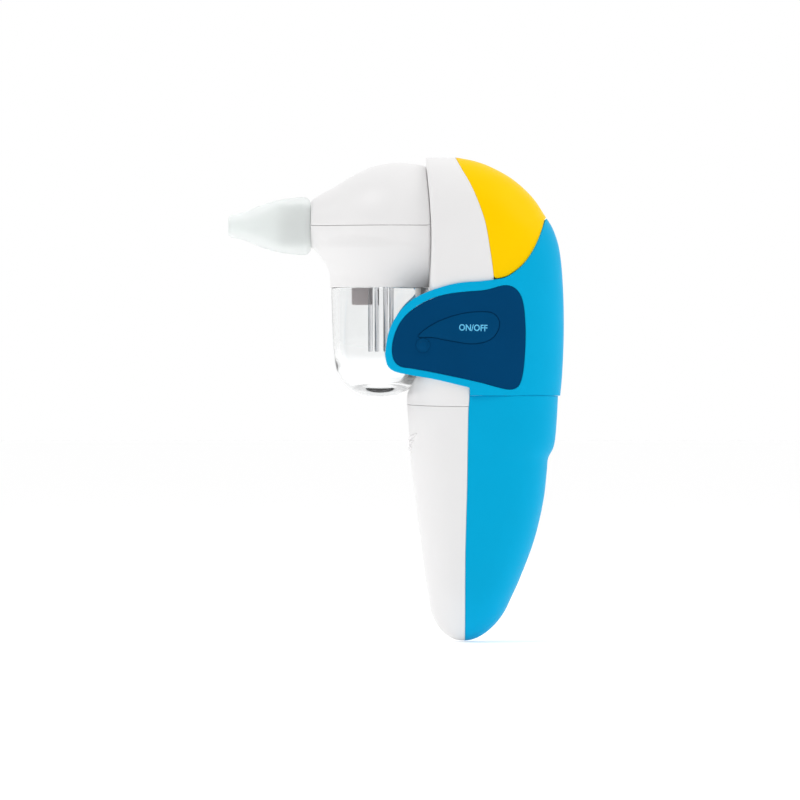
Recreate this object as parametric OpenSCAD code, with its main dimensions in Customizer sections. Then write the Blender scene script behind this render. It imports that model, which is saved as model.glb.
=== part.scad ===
// Battery nasal aspirator: a pistol-shaped body with a handle that is a pull-off battery sleeve,
// a round suction head with a clear collection cup under it, and a soft nose tip.
// Frame: the nose tip points along -X, Y is across the body, Z is up. The origin is in the grip,
// on the plane where the white front and the blue back of the handle meet, at half height.

/* [Body] */
// Height of the suction axis above the origin
axis_z = 58.6; // [57:0.2:60]
// Radius of the arch that the body makes over the head
arch_r = 23.3; // [22.6:0.1:24]
// Front face of the body behind the head and the cup
face_x = -13.4; // [-13.8:0.1:-13]
// Wall thickness of the casings
wall = 1.8; // [1.5:0.1:2]
// How far the blue back and its wings stand proud of the white front
proud = 0.9; // [0.6:0.1:1.2]
// Thickness of the wings beside the cup
wing_t = 2.4; // [2:0.1:2.6]
// Thickness of the soft side panels
panel_t = 1.2; // [1:0.1:1.4]

/* [Suction head] */
// Wall thickness of the two head shells
head_wall = 1.9; // [1.6:0.1:2.2]
// Front end of the head, where the nose tip seats
neck_x = -52.9; // [-53.5:0.1:-52]
// Outer radius of the stub that carries the nose tip
stub_r = 6.2; // [5.8:0.1:6.4]
// Radius of the rings on the stub
stub_ring_r = 7.05; // [6.9:0.05:7.1]
// Radius of the air way through the stub
stub_bore_r = 4.2; // [3.6:0.1:4.4]
// Radius of the skirt over the cup
skirt_r = 17; // [16.8:0.1:17.4]

/* [Nose tip] */
// Front end of the soft tip
tip_x = -80.9; // [-84:0.1:-79]
// Radius of the opening in the nose tip
tip_bore_r = 2; // [1.6:0.1:2.4]
// Length of the straight opening
tip_bore_len = 7; // [5:0.5:7.5]

/* [Collection cup] */
// Axis of the cup
cup_x = -29.4; // [-30:0.1:-29]
// Outer radius of the cup at its rim
cup_r = 16.6; // [16:0.1:16.7]
// Radius of the cup's neck inside the skirt
cup_neck_r = 14.8; // [14.4:0.1:14.9]

/* [Battery sleeve] */
// Height of the seam on the white front
front_seam_z = -2.7; // [-4:0.1:-1]
// Height of the seam on the blue back
back_seam_z = 0.9; // [0:0.1:2]
// Radius of an AA cell
cell_r = 7.25; // [7.25:0.05:7.25]
// Length of an AA cell with its button
cell_len = 50.5; // [50.5:0.1:50.5]

/* [Vacuum pump] */
// Axis of the motor and pump
pump_x = 9; // [8.5:0.1:9.5]
// Radius of the motor
motor_r = 12; // [11.5:0.1:12.2]
// Tilt of the crank pin, in degrees
pin_tilt = 7.1; // [6:0.1:8]

/* [Power key] */
// Travel of the key
key_travel = 0.8; // [0.5:0.1:0.9]
// Gap round the key
key_gap = 0.35; // [0.25:0.05:0.5]

/* [Hidden] */

// ---- Curves ------------------------------------------------------------------------------
// A curve is a list of [place, value] with the places rising; between them it is a smooth cubic.
function knot_slope(p, i) =
    let (a = max(i - 1, 0), b = min(i + 1, len(p) - 1))
    (p[b][1] - p[a][1]) / (p[b][0] - p[a][0]);
function knot_before(p, s, i = 0) =
    i >= len(p) - 2 || s < p[i + 1][0] ? i : knot_before(p, s, i + 1);
function curve(p, s) =
    let (i = knot_before(p, s), h = p[i + 1][0] - p[i][0], t = (s - p[i][0]) / h,
         t2 = t * t, t3 = t2 * t)
    (2 * t3 - 3 * t2 + 1) * p[i][1] + (t3 - 2 * t2 + t) * h * knot_slope(p, i)
    + (3 * t2 - 2 * t3) * p[i + 1][1] + (t3 - t2) * h * knot_slope(p, i + 1);

// A smooth closed outline through a few corner points, with n steps between two of them.
function rounded(p, n = 4) =
    let (m = len(p))
    [for (i = [0:m - 1], k = [0:n - 1])
        let (a = p[(i + m - 1) % m], b = p[i], c = p[(i + 1) % m], d = p[(i + 2) % m], t = k / n)
        0.5 * (2 * b + (c - a) * t + (2 * a - 5 * b + 4 * c - d) * t * t
               + (3 * b - a - 3 * c + d) * t * t * t)];

// A smooth open line through a few points, with n steps between two of them.
function smooth_line(p, n = 3) =
    let (m = len(p) - 1)
    concat([for (i = [0:m - 1], k = [0:n - 1])
        let (a = p[max(i - 1, 0)], b = p[i], c = p[i + 1], d = p[min(i + 2, m)], t = k / n)
        0.5 * (2 * b + (c - a) * t + (2 * a - 5 * b + 4 * c - d) * t * t
               + (3 * b - a - 3 * c + d) * t * t * t)], [p[m]]);

// A superellipse quarter: 1 at the start of an end cap, 0 at its tip.
function cap(u, p) = u <= 0 ? 1 : pow(max(1 - pow(u, p), 0), 1 / p);
function signed_pow(v, p) = sign(v) * pow(abs(v), p);

// ---- The body's form ---------------------------------------------------------------------
crown_z = axis_z + arch_r - 0.06;
body_back = [[-6, 31.2], [1, 31.9], [9, 32.6], [23, 33.1], [38, 32.8], [50.5, 31.6], [57.6, 30.2],
             [62.5, 27.2], [68.5, 22.9], [74.6, 15.8], [78.7, 8.3], [80.8, 2.5], [81.9, -3.2]];
body_front = [[-6, -19.9], [-2, -20.2], [1.5, -20.1], [3.4, -19.4], [6.8, -17.9], [9.5, -15.6],
              [12, face_x - 0.3], [14, face_x], [90, face_x]];
body_width = [[-6, 19.4], [0, 19.6], [12, 20.6], [25, 21.5], [40, 22.6], [axis_z, arch_r]];
body_middle = [[-6, 3], [2, 1.5], [12, -3.5], [20, -4], [90, -4]];
body_squareness = [[-6, 2.4], [0, 2.4], [12, 4], [90, 4]];
side_roundness = 2.2;

function back_x(z) = curve(body_back, min(z, crown_z));
function half_width(z) = z > axis_z ? sqrt(pow(arch_r, 2) - pow(z - axis_z, 2)) : curve(body_width, z);

// A level section of the body: grow widens it, inset makes the inner face of a wall.
ring_steps = 36;
function lift(z) = min(max((z - 50) / 20, 0), 1);
function body_ring(z, grow, inset) =
    let (front = curve(body_front, z) + inset,
         back = back_x(z + inset * lift(z)) - inset * (1 - lift(z) / 2),
         mid = min(curve(body_middle, z), back - 0.6),
         shrunk = inset == 0 || z < axis_z ? half_width(z) - inset
                  : sqrt(max(pow(arch_r - inset, 2) - pow(z - axis_z, 2), 0.2)),
         w = shrunk + grow)
    [for (i = [0:ring_steps - 1])
        let (a = 360 * i / ring_steps, c = cos(a), s = sin(a),
             p = c < 0 ? curve(body_squareness, z) : side_roundness)
        [mid + (c < 0 ? mid - front : back - mid) * signed_pow(c, 2 / p), w * signed_pow(s, 2 / p), z]];

low_levels = [for (z = [-6:4:axis_z - 2]) z];
function high_levels(r) = [for (k = [0:11]) axis_z + r * sin(90 * k / 11.3)];

// The sleeve's form: a tapered grip with a thumb ledge on its back and a round foot.
foot_z = -82.3;
depth_cap_z = -70;
width_cap_z = -62;
cap_roundness = 2.2;
grip_roundness = 2.4;
grip_front = [[-90, -9.8], [-68.5, -12.8], [-61.7, -13.9], [-48.1, -15.6], [-34.5, -17.3],
              [-22, -18.8], [-11.4, -19.5], [-2, -20.2], [6, -20.2]];
grip_back = [[-90, 5.5], [-76, 11.5], [-68.5, 14.8], [-61.7, 17.9], [-48.1, 23], [-34.5, 26.2],
             [-24, 27.4], [-20.2, 27.8], [-16.6, 29.6], [-11.4, 30.4], [0, 31.1], [6, 31.3]];
grip_width = [[-90, 10], [-70, 15.6], [-62, 17.1], [-56, 17.8], [-40, 18.5], [-20, 19.1],
              [0, 19.6], [6, 19.8]];
function grip_ring(z, inset) =
    let (bottom = foot_z + inset,
         deep = cap((depth_cap_z - z) / (depth_cap_z - bottom), cap_roundness),
         wide = cap((width_cap_z - z) / (width_cap_z - bottom), cap_roundness),
         front = curve(grip_front, z), back = curve(grip_back, z), mid = (front + back) / 2,
         half = ((back - front) / 2 - inset) * deep,
         w = (curve(grip_width, z) - inset) * wide)
    [for (i = [0:ring_steps - 1])
        let (a = 360 * i / ring_steps)
        [mid + half * signed_pow(cos(a), 2 / grip_roundness),
         w * signed_pow(sin(a), 2 / grip_roundness), z]];
function foot_levels(bottom) =
    [for (k = [0.7:8.7]) depth_cap_z - (depth_cap_z - bottom) * cos(90 * k / 9)];
grip_levels = [-66, -62, -56, -50, -44, -38, -32, -26, -22, -20, -18.2, -16.5, -13, -8, -3, 2, 5.9];

module loft(rings) {
    n = len(rings[0]);
    m = len(rings);
    polyhedron(
        points = [for (r = rings) each r],
        faces = concat(
            [[for (i = [0:n - 1]) i]],
            [for (j = [0:m - 2], i = [0:n - 1])
                each [[j * n + i, (j + 1) * n + i, (j + 1) * n + (i + 1) % n],
                      [j * n + i, (j + 1) * n + (i + 1) % n, j * n + (i + 1) % n]]],
            [[for (i = [n - 1:-1:0]) (m - 1) * n + i]]));
}

module body_solid(grow, inset) {
    levels = concat(low_levels, high_levels(arch_r - inset));
    loft([for (z = levels) body_ring(z, grow, inset)]);
}

module grip_solid(inset) {
    levels = concat(foot_levels(foot_z + inset), grip_levels);
    loft([for (z = levels) grip_ring(z, inset)]);
}

// An outline in the side view, drawn in X and Z, as a bar from y0 to y1.
module side_bar(outline, y0, y1) {
    translate([0, y1, 0])
        rotate([90, 0, 0])
            linear_extrude(height = y1 - y0)
                polygon(outline);
}

// ---- Colour borders in the side view -------------------------------------------------------
far = 60;
crown_border = smooth_line([[-3.4, 82], [1.2, 74.6], [4.9, 66.5], [7.3, 56.3], [8.8, 47], [10.2, 41]]);
back_border = smooth_line([[10.2, 41], [15, 43], [19.2, 45.7], [22.6, 49.8], [25.7, 56.6], [27.7, 61.4],
                           [28.6, 64.5]]);
wing_front = rounded([[10.2, 41], [-7.6, 38], [-18.5, 33.8], [-25, 26.8], [-28, 17], [-26.6, 10.6],
                      [-21, 7.7], [-7.6, 5.3], [2.5, 2.6], [6, 20]]);
front_zone = concat([[-far, -far], [-far, 90], [-3.4, 90]], crown_border, [[0, 40.2], [0, -far]]);
crown_zone = concat([[-3.4, 90]], crown_border, [for (i = [1:len(back_border) - 1]) back_border[i]],
                    [[70, 78], [70, 90]]);
rear_zone = concat([[0, -far], [0, 40.2]], back_border, [[70, 76], [70, -far]]);

// ---- Wings, panels and key -----------------------------------------------------------------
wing_bend = 0.0043;
function wing_y(x, z) =
    let (mid = curve(body_middle, z), w = half_width(z) + proud, run = (x - mid) / (back_x(z) - mid))
    x > mid ? w * pow(1 - pow(run, side_roundness), 1 / side_roundness)
            : w - wing_bend * pow(x - mid, 2);
// A sheet that follows the wing's face: side is -1 or 1, from depth d0 to d1 under the face.
module wing_sheet(side, x0, x1, d0, d1) {
    nx = 12;
    nz = 10;
    zs = [for (j = [0:nz]) 1 + 41 * j / nz];
    xs = [for (i = [0:nx]) x0 + (x1 - x0) * i / nx];
    rings = [for (z = zs) concat(
        [for (x = xs) [x, wing_y(x, z) - d0, z]],
        [for (i = [nx:-1:0]) [xs[i], wing_y(xs[i], z) - d1, z]])];
    mirror([0, side > 0 ? 0 : 1, 0])
        loft([for (r = rings) [for (i = [len(r) - 1:-1:0]) r[i]]]);
}

panel_outline = rounded([[12.5, 38.3], [17.6, 36.6], [20.1, 25], [19.2, 9.5], [14.5, 3.3], [5, 5.2],
                         [-12.7, 9.2], [-21.5, 10.4], [-25.2, 16.5], [-21.3, 27.7], [-12, 33.8],
                         [0, 36.7]]);
key_outline = rounded([[-16.5, 21], [-10.4, 25.6], [-1.2, 28.7], [8, 29], [11, 25.4], [8.6, 20.4],
                       [2.5, 18.5], [-5, 19.4], [-11.4, 20.6]]);
function side_offset(p, d) =
    [for (i = [0:len(p) - 1])
        let (a = p[(i + len(p) - 1) % len(p)], b = p[(i + 1) % len(p)], t = b - a,
             n = [-t[1], t[0]] / norm(t))
        p[i] + d * n];
stud_place = [-14.8, 18];
stud_r = 2.4;

module wing(side) {
    intersection() {
        wing_sheet(side, -29, 4, 0, wing_t);
        side_bar(wing_front, side > 0 ? 5 : -40, side > 0 ? 40 : -5);
    }
}
module panel_recess(side) {
    intersection() {
        wing_sheet(side, -29, 22, -4, panel_t);
        side_bar(side_offset(panel_outline, 0.1), side > 0 ? 5 : -40, side > 0 ? 40 : -5);
    }
}
module panel_sheet(side) {
    difference() {
        intersection() {
            wing_sheet(side, -29, 22, 0, panel_t - 0.05);
            side_bar(panel_outline, side > 0 ? 5 : -40, side > 0 ? 40 : -5);
        }
        stud_hole(side);
    }
}
module stud_hole(side) {
    translate([stud_place[0], 0, stud_place[1]])
        rotate([side > 0 ? -90 : 90, 0, 0])
            translate([0, 0, 17])
                cylinder(h = 9, r = stud_r + 0.05, $fn = 32);
}
module key_window(gap) {
    side_bar(side_offset(key_outline, gap), -30, -17.5);
}

// The room that the cup and the skirt nest in, and the wall behind it.
nest_gap = 0.6;
cup_outer = [[0, 0.5], [4.4, 0.5], [6.6, 1.2], [9.9, 3.2], [12.3, 5.6], [14.6, 9.4], [15.5, 14],
             [16, 20], [cup_r, 36.4]];
module nest(gap) {
    translate([cup_x, 0, 0])
        rotate_extrude($fn = 64)
            polygon(concat([[0, 0.5 - gap]], [for (i = [1:8]) cup_outer[i] + [gap, -gap / 2]],
                           [[cup_r + gap, 42], [0, 42]]));
}

port_z = 68;
port_r = 4;
tongue_z = 46;
module tongue(gap) {
    translate([-16, -6 - gap, tongue_z - 1 - gap])
        cube([8, 12 + 2 * gap, 2 + 2 * gap]);
}

module front_housing() {
    color([0.96, 0.96, 0.95])
    difference() {
        intersection() {
            body_solid(0, 0);
            side_bar(front_zone, -far, far);
        }
        difference() {
            body_solid(0, wall);
            nest(nest_gap + wall);
        }
        nest(nest_gap);
        for (side = [-1, 1])
            side_bar(side_offset(wing_front, 0.1), side > 0 ? 14 : -far, side > 0 ? far : -14);
        tongue(0.25);
        translate([-20, 0, port_z])
            rotate([0, 90, 0])
                cylinder(h = 14, r = port_r + 0.02, $fn = 48);
        seam_cut();
    }
}

// Everything below the seam, stepped where white and blue meet.
seam_gap = 0.12;
module seam_cut() {
    translate([-far, -far, -far])
        cube([far, 2 * far, far + front_seam_z + seam_gap]);
    translate([0, -far, -far])
        cube([far, 2 * far, far + back_seam_z + seam_gap]);
}

module rear_housing() {
    color([0.0, 0.7, 0.9])
    difference() {
        union() {
            intersection() {
                difference() {
                    body_solid(proud, 0);
                    body_solid(0, wall);
                }
                side_bar(rear_zone, -far, far);
            }
            wing(-1);
            wing(1);
        }
        panel_recess(-1);
        panel_recess(1);
        key_window(key_gap + 0.2);
        stud_hole(-1);
        stud_hole(1);
        seam_cut();
    }
}

module crown_cover() {
    color([1.0, 0.8, 0.05])
    intersection() {
        difference() {
            body_solid(0, 0);
            body_solid(0, wall);
        }
        side_bar(crown_zone, -far, far);
    }
}

module key_panel() {
    color([0.0, 0.27, 0.44])
    difference() {
        panel_sheet(-1);
        key_window(key_gap);
    }
}

module grip_panel() {
    color([0.0, 0.27, 0.44])
    panel_sheet(1);
}

module panel_studs() {
    color([0.0, 0.3, 0.48])
    for (side = [-1, 1])
        translate([stud_place[0], 0, stud_place[1]])
            rotate([side > 0 ? -90 : 90, 0, 0])
                translate([0, 0, 19.5])
                    rotate_extrude($fn = 32)
                        polygon([[0, 0], [stud_r, 0], [stud_r, 1.5], [2, 2.1], [1.2, 2.5], [0, 2.6]]);
}

// ---- Switch and board --------------------------------------------------------------------
switch_x = -1;
switch_z = 24;
board_y = -15.2;
board_t = 1.4;
switch_h = 3.2;
plunger_r = 1.6;
stem_y = -19.3;
plunger_y = board_y - 1.4 - key_travel;

module power_key() {
    color([0.0, 0.3, 0.48])
    union() {
        intersection() {
            wing_sheet(-1, -29, 22, -0.15, wing_t - 0.6);
            side_bar(key_outline, -40, -5);
        }
        translate([switch_x, stem_y, switch_z])
            rotate([90, 0, 0])
                cylinder(h = 2.2, r = 2, $fn = 32);
    }
}

module key_plunger() {
    color([0.15, 0.15, 0.15])
    translate([switch_x, plunger_y, switch_z])
        rotate([90, 0, 0])
            cylinder(h = plunger_y - stem_y - 0.02, r = plunger_r, $fn = 32);
}

module power_switch() {
    color([0.75, 0.75, 0.77])
    difference() {
        translate([switch_x - 3, board_y - switch_h, switch_z - 3])
            cube([6, switch_h, 6]);
        translate([switch_x, board_y - 0.6, switch_z])
            rotate([90, 0, 0])
                cylinder(h = switch_h, r = plunger_r + 0.06, $fn = 32);
    }
}

module circuit_board() {
    color([0.1, 0.4, 0.2])
    translate([-9.5, board_y, 11])
        cube([24, board_t, 26]);
}

module board_chips() {
    color([0.1, 0.1, 0.1])
    for (p = [[6.5, 14, 5, 4], [7, 30, 3, 3], [-7.5, 31, 4, 2]])
        translate([p[0], board_y - 1.2, p[1]])
            cube([p[2], 1.2, p[3]]);
}

// ---- Battery sleeve and carrier ------------------------------------------------------------
cell_x = 3.5;
cell_y = 7.6;
cell_top = -5.6;
cell_low = cell_top - cell_len;

module sleeve_shell() {
    difference() {
        grip_solid(0);
        grip_solid(wall);
    }
}
// Three raised arrow marks on the front show which way the sleeve pulls off.
module arrow_marks() {
    for (k = [0:2])
        translate([-19.6, 0, -13 - 2.4 * k])
            for (s = [-1, 1])
                rotate([s * 28, 0, 0])
                    translate([-0.35, s > 0 ? 0 : -(6 - 1.4 * k), -0.5])
                        cube([1.2, 6 - 1.4 * k, 1]);
}
module sleeve_front() {
    color([0.96, 0.96, 0.95])
    difference() {
        union() {
            sleeve_shell();
            intersection() {
                arrow_marks();
                translate([-30, -10, -30])
                    cube([11.8, 20, 20]);
            }
        }
        translate([0, -far, -90])
            cube([far, 2 * far, 120]);
        translate([-far, -far, front_seam_z])
            cube([2 * far, 2 * far, far]);
    }
}

module sleeve_rear() {
    color([0.0, 0.66, 0.86])
    difference() {
        sleeve_shell();
        translate([-far, -far, -90])
            cube([far, 2 * far, 120]);
        translate([-far, -far, back_seam_z])
            cube([2 * far, 2 * far, far]);
    }
}

// A flat plate round the two cells, as a stadium in plan.
module cell_stadium(r, h) {
    union() {
        for (s = [-1, 1])
            translate([cell_x, s * cell_y, 0])
                cylinder(h = h, r = r, $fn = 48);
        translate([cell_x - r, -cell_y, 0])
            cube([2 * r, 2 * cell_y, h]);
    }
}
lead_hole = [cell_x + 5.4, 0];
module battery_carrier() {
    color([0.85, 0.85, 0.83])
    difference() {
        union() {
            translate([0, 0, cell_top + 1.8])
                cell_stadium(7.6, 1.4);
            translate([0, 0, cell_low - 3.9])
                cell_stadium(7.6, 1.4);
            translate([cell_x + cell_r + 0.15, -12, cell_low - 3.9])
                cube([1.6, 24, cell_top - cell_low + 6.1]);
            // Collar that closes the body and guides the sleeve
            difference() {
                intersection() {
                    loft([for (z = [-9.5, -6, -3.4]) grip_ring(z, wall + 0.2)]);
                    translate([-far, -far, -9.5])
                        cube([2 * far, 2 * far, 6]);
                }
                translate([0, 0, -10])
                    cell_stadium(8.2, 8);
            }
            translate([0, 0, -3.9])
                loft([for (z = [0, 1.3]) [for (q = grip_ring(-3.4, wall + 0.2)) [q[0], q[1], z]]]);
        }
        translate([lead_hole[0], lead_hole[1], -6])
            cylinder(h = 8, r = 2, $fn = 32);
        for (s = [-1, 1])
            translate([cell_x, s * cell_y, -12])
                cylinder(h = 7.9, r = cell_r + 0.2, $fn = 48);
    }
}

module battery(s) {
    translate([cell_x, s * cell_y, 0]) {
        translate([0, 0, cell_low + (s > 0 ? 0 : 1.3)])
            cylinder(h = cell_len - 1.3, r = cell_r, $fn = 48);
        translate([0, 0, s > 0 ? cell_top - 1.3 : cell_low])
            cylinder(h = 1.3, r = 2.7, $fn = 32);
    }
}
module battery_left() {
    color([0.2, 0.22, 0.25])
    battery(1);
}
module battery_right() {
    color([0.2, 0.22, 0.25])
    battery(-1);
}

// One spring under the left cell's flat end and one over the right cell's flat end.
spring_wire_r = 0.3;
module cell_spring(turns, pitch) {
    for (k = [0:turns - 1])
        translate([0, 0, spring_wire_r + pitch * k])
            rotate_extrude($fn = 32)
                translate([3.9 - 0.7 * k, 0])
                    circle(r = spring_wire_r, $fn = 16);
}
module battery_springs() {
    color([0.8, 0.8, 0.82]) {
        translate([cell_x, cell_y, cell_low - 2.18])
            cell_spring(3, 0.74);
        translate([cell_x, -cell_y, cell_top + 0.02])
            cell_spring(2, 0.7);
    }
}

module battery_contacts() {
    color([0.85, 0.85, 0.86]) {
        for (s = [-1, 1])
            translate([cell_x - 4, s * cell_y - 4, cell_top + 1.34])
                cube([8, 8, 0.34]);
        translate([cell_x - 4, -cell_y - 4, cell_low - 2.5])
            cube([8, 2 * cell_y + 8, 0.3]);
    }
}

// A wire along a few points, swept as a tube with mitred bends.
wire_sides = 8;
function unit(v) = v / norm(v);
function wire_ring(points, i, r) =
    let (a = points[max(i - 1, 0)], b = points[i], c = points[min(i + 1, len(points) - 1)],
         run = unit(i == 0 ? c - b : i == len(points) - 1 ? b - a : unit(b - a) + unit(c - b)),
         u = unit(cross(run, [0.3, 0.2, 0.9])), v = cross(run, u))
    [for (k = [0:wire_sides - 1])
        b + r * (cos(360 * k / wire_sides) * u + sin(360 * k / wire_sides) * v)];
module wire(points, r) {
    loft([for (i = [0:len(points) - 1]) wire_ring(points, i, r)]);
}
lead_r = 0.55;
module battery_leads() {
    color([0.8, 0.1, 0.1])
    for (s = [-1, 1])
        wire([[lead_hole[0] + s, 0, cell_top + 3.4], [lead_hole[0] + s, 0, 1], [3 + 1.5 * s, -9, 2],
              [2 * s, board_y + board_t + 0.6, 5.5], [2 * s, board_y + board_t + 0.6, 12]], lead_r);
}

module motor_leads() {
    color([0.1, 0.1, 0.1])
    for (s = [-1, 1])
        wire([[pump_x + 2 + 4 * s, -4, motor_z0 - 3], [pump_x + 2 + 4 * s, -8, 3.2],
              [10 + 1.5 * s, board_y + board_t + 0.6, 6.5],
              [10 + 1.5 * s, board_y + board_t + 0.6, 12]], lead_r);
}

// ---- Pump and motor ------------------------------------------------------------------------
motor_z0 = 9;
motor_z1 = 39;
shaft_r = 1;
case_z1 = 50;
pump_r = 13.5;
pivot_z = 51.5;
eccentric_z0 = 41.6;
eccentric_z1 = 44.3;
pin_r = 0.8;
pin_reach = 8;

module at_pump(z) {
    translate([pump_x, 0, z])
        children();
}
module tube(r1, r0, h) {
    difference() {
        cylinder(h = h, r = r1, $fn = 48);
        translate([0, 0, -1])
            cylinder(h = h + 2, r = r0, $fn = 48);
    }
}

module motor_can() {
    color([0.78, 0.78, 0.8])
    at_pump(motor_z0)
        difference() {
            cylinder(h = motor_z1 - motor_z0, r = motor_r, $fn = 64);
            translate([0, 0, -1])
                cylinder(h = motor_z1 - motor_z0, r = motor_r - 1, $fn = 64);
            cylinder(h = 40, r = 3, $fn = 32);
        }
}
module motor_end_cap() {
    color([0.15, 0.15, 0.16])
    at_pump(motor_z0 - 2.5)
        difference() {
            union() {
                cylinder(h = 2.5, r = motor_r, $fn = 64);
                translate([0, 0, 2.5])
                    cylinder(h = 1.5, r = motor_r - 1.05, $fn = 64);
            }
            translate([0, 0, 1])
                cylinder(h = 4, r = 3, $fn = 32);
        }
}
module motor_magnets() {
    color([0.3, 0.3, 0.32])
    at_pump(motor_z0 + 4)
        difference() {
            tube(motor_r - 1.05, motor_r - 3.2, 20);
            for (x = [-1, 1])
                translate([x * 10 - 2.5, -20, -1])
                    cube([5, 40, 22]);
        }
}
module motor_bushes() {
    color([0.72, 0.55, 0.25]) {
        at_pump(motor_z0 - 1.5)
            tube(2.98, shaft_r + 0.04, 3);
        at_pump(motor_z1 - 1)
            tube(2.98, shaft_r + 0.04, 2);
    }
}
module motor_rotor() {
    color([0.6, 0.35, 0.2])
    at_pump(motor_z0 + 5)
        difference() {
            cylinder(h = 18, r = 8.3, $fn = 48);
            for (k = [0:2])
                rotate([0, 0, 60 + 120 * k])
                    translate([6.4, 0, -1])
                        cylinder(h = 20, r = 2.6, $fn = 24);
            translate([0, 0, -1])
                cylinder(h = 20, r = shaft_r, $fn = 32);
        }
}
module motor_shaft() {
    color([0.85, 0.85, 0.87])
    at_pump(motor_z0 - 1.3)
        cylinder(h = eccentric_z1 - 1 - motor_z0 + 1.3, r = shaft_r, $fn = 32);
}
// The pin leans so that its line meets the pump's axis at the pivot.
module along_pin() {
    at_pump(pivot_z)
        rotate([0, pin_tilt, 0])
            children();
}
module eccentric() {
    color([0.9, 0.9, 0.86])
    difference() {
        at_pump(eccentric_z0)
            cylinder(h = eccentric_z1 - eccentric_z0, r = 5.6, $fn = 48);
        at_pump(eccentric_z0 - 1)
            cylinder(h = eccentric_z1 - eccentric_z0, r = shaft_r, $fn = 32);
        along_pin()
            translate([0, 0, -pin_reach])
                cylinder(h = 4, r = pin_r, $fn = 32);
    }
}
module crank_pin() {
    color([0.85, 0.85, 0.87])
    along_pin()
        translate([0, 0, -pin_reach + 0.02])
            cylinder(h = 4.6, r = pin_r, $fn = 32);
}
arm_r = 7.4;
arm_z = -5.2;
module wobble_plate() {
    color([0.9, 0.9, 0.86])
    along_pin()
        difference() {
            union() {
                translate([0, 0, -6.5])
                    cylinder(h = 3.9, r = 2.6, $fn = 32);
                for (k = [0:2])
                    rotate([0, 0, 120 * k])
                        translate([0, -1.6, arm_z])
                            cube([arm_r, 3.2, 1.3]);
                for (k = [0:2])
                    rotate([0, 0, 120 * k])
                        translate([arm_r, 0, arm_z])
                            cylinder(h = 1.3, r = 2.4, $fn = 32);
            }
            translate([0, 0, -8])
                cylinder(h = 4.9, r = pin_r + 0.05, $fn = 32);
        }
}
module plate_stems() {
    color([0.25, 0.25, 0.27])
    along_pin()
        for (k = [0:2])
            rotate([0, 0, 120 * k])
                translate([arm_r, 0, arm_z + 1.3])
                    cylinder(h = 1.1, r = 1.2, $fn = 24);
}
module crank_case() {
    color([0.88, 0.88, 0.85])
    at_pump(motor_z1)
        difference() {
            cylinder(h = case_z1 - motor_z1, r = pump_r, $fn = 64);
            translate([0, 0, 1.8])
                cylinder(h = case_z1, r = pump_r - 1.7, $fn = 64);
            translate([0, 0, -1])
                cylinder(h = 4, r = 3.6, $fn = 32);
        }
}
module diaphragm() {
    color([0.2, 0.2, 0.22])
    at_pump(case_z1 + 0.02)
        union() {
            cylinder(h = 1.1, r = pump_r - 0.3, $fn = 64);
            for (k = [0:2])
                rotate([0, 0, 120 * k])
                    translate([arm_r, 0, 1.1])
                        tube(3.6, 2.8, 2.2);
        }
}
module chamber_block() {
    color([0.88, 0.88, 0.85])
    at_pump(case_z1 + 1.14)
        difference() {
            cylinder(h = 4.4, r = pump_r, $fn = 64);
            for (k = [0:2])
                rotate([0, 0, 120 * k]) {
                    translate([arm_r, 0, -1])
                        cylinder(h = 3.5, r = 3.65, $fn = 32);
                    translate([arm_r, 0, 1])
                        cylinder(h = 6, r = 0.9, $fn = 24);
                }
        }
}
module valve_discs() {
    color([0.2, 0.2, 0.22])
    for (k = [0:2])
        at_pump(case_z1 + 5.56)
            rotate([0, 0, 120 * k])
                translate([arm_r, 0, 0])
                    cylinder(h = 0.5, r = 2.2, $fn = 24);
}
cover_z = case_z1 + 5.56;
nipple_top = 63.4;
module pump_cover() {
    color([0.88, 0.88, 0.85])
    at_pump(cover_z)
        difference() {
            union() {
                cylinder(h = 4.4, r = pump_r, $fn = 64);
                cylinder(h = nipple_top - cover_z, r = 1.9, $fn = 32);
                translate([9, 0, 0])
                    cylinder(h = 8, r = 1.5, $fn = 32);
            }
            translate([0, 0, -1])
                cylinder(h = 3.2, r = pump_r - 1.7, $fn = 64);
            translate([0, 0, 1])
                cylinder(h = 12, r = 1, $fn = 24);
            translate([9, 0, 1])
                cylinder(h = 12, r = 0.8, $fn = 24);
        }
}
module pump_screws() {
    color([0.7, 0.7, 0.72])
    for (k = [0:3])
        at_pump(cover_z + 4.4)
            rotate([0, 0, 45 + 90 * k])
                translate([pump_r - 2.4, 0, 0])
                    difference() {
                        cylinder(h = 1.1, r = 1.4, $fn = 24);
                        translate([-1, -0.2, 0.6])
                            cube([2, 0.4, 1]);
                        translate([-0.2, -1, 0.6])
                            cube([0.4, 2, 1]);
                    }
}
// Foam and plastic bracket that holds the motor against the back of the casing.
module pump_cradle() {
    color([0.3, 0.3, 0.32])
    for (z = [14, 30])
        at_pump(z)
            difference() {
                union() {
                    cylinder(h = 4, r = motor_r + 1.3, $fn = 64);
                    translate([0, -6, 0])
                        cube([20.8, 12, 4]);
                }
                translate([0, 0, -1])
                    cylinder(h = 6, r = motor_r + 0.02, $fn = 64);
            }
}

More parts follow.
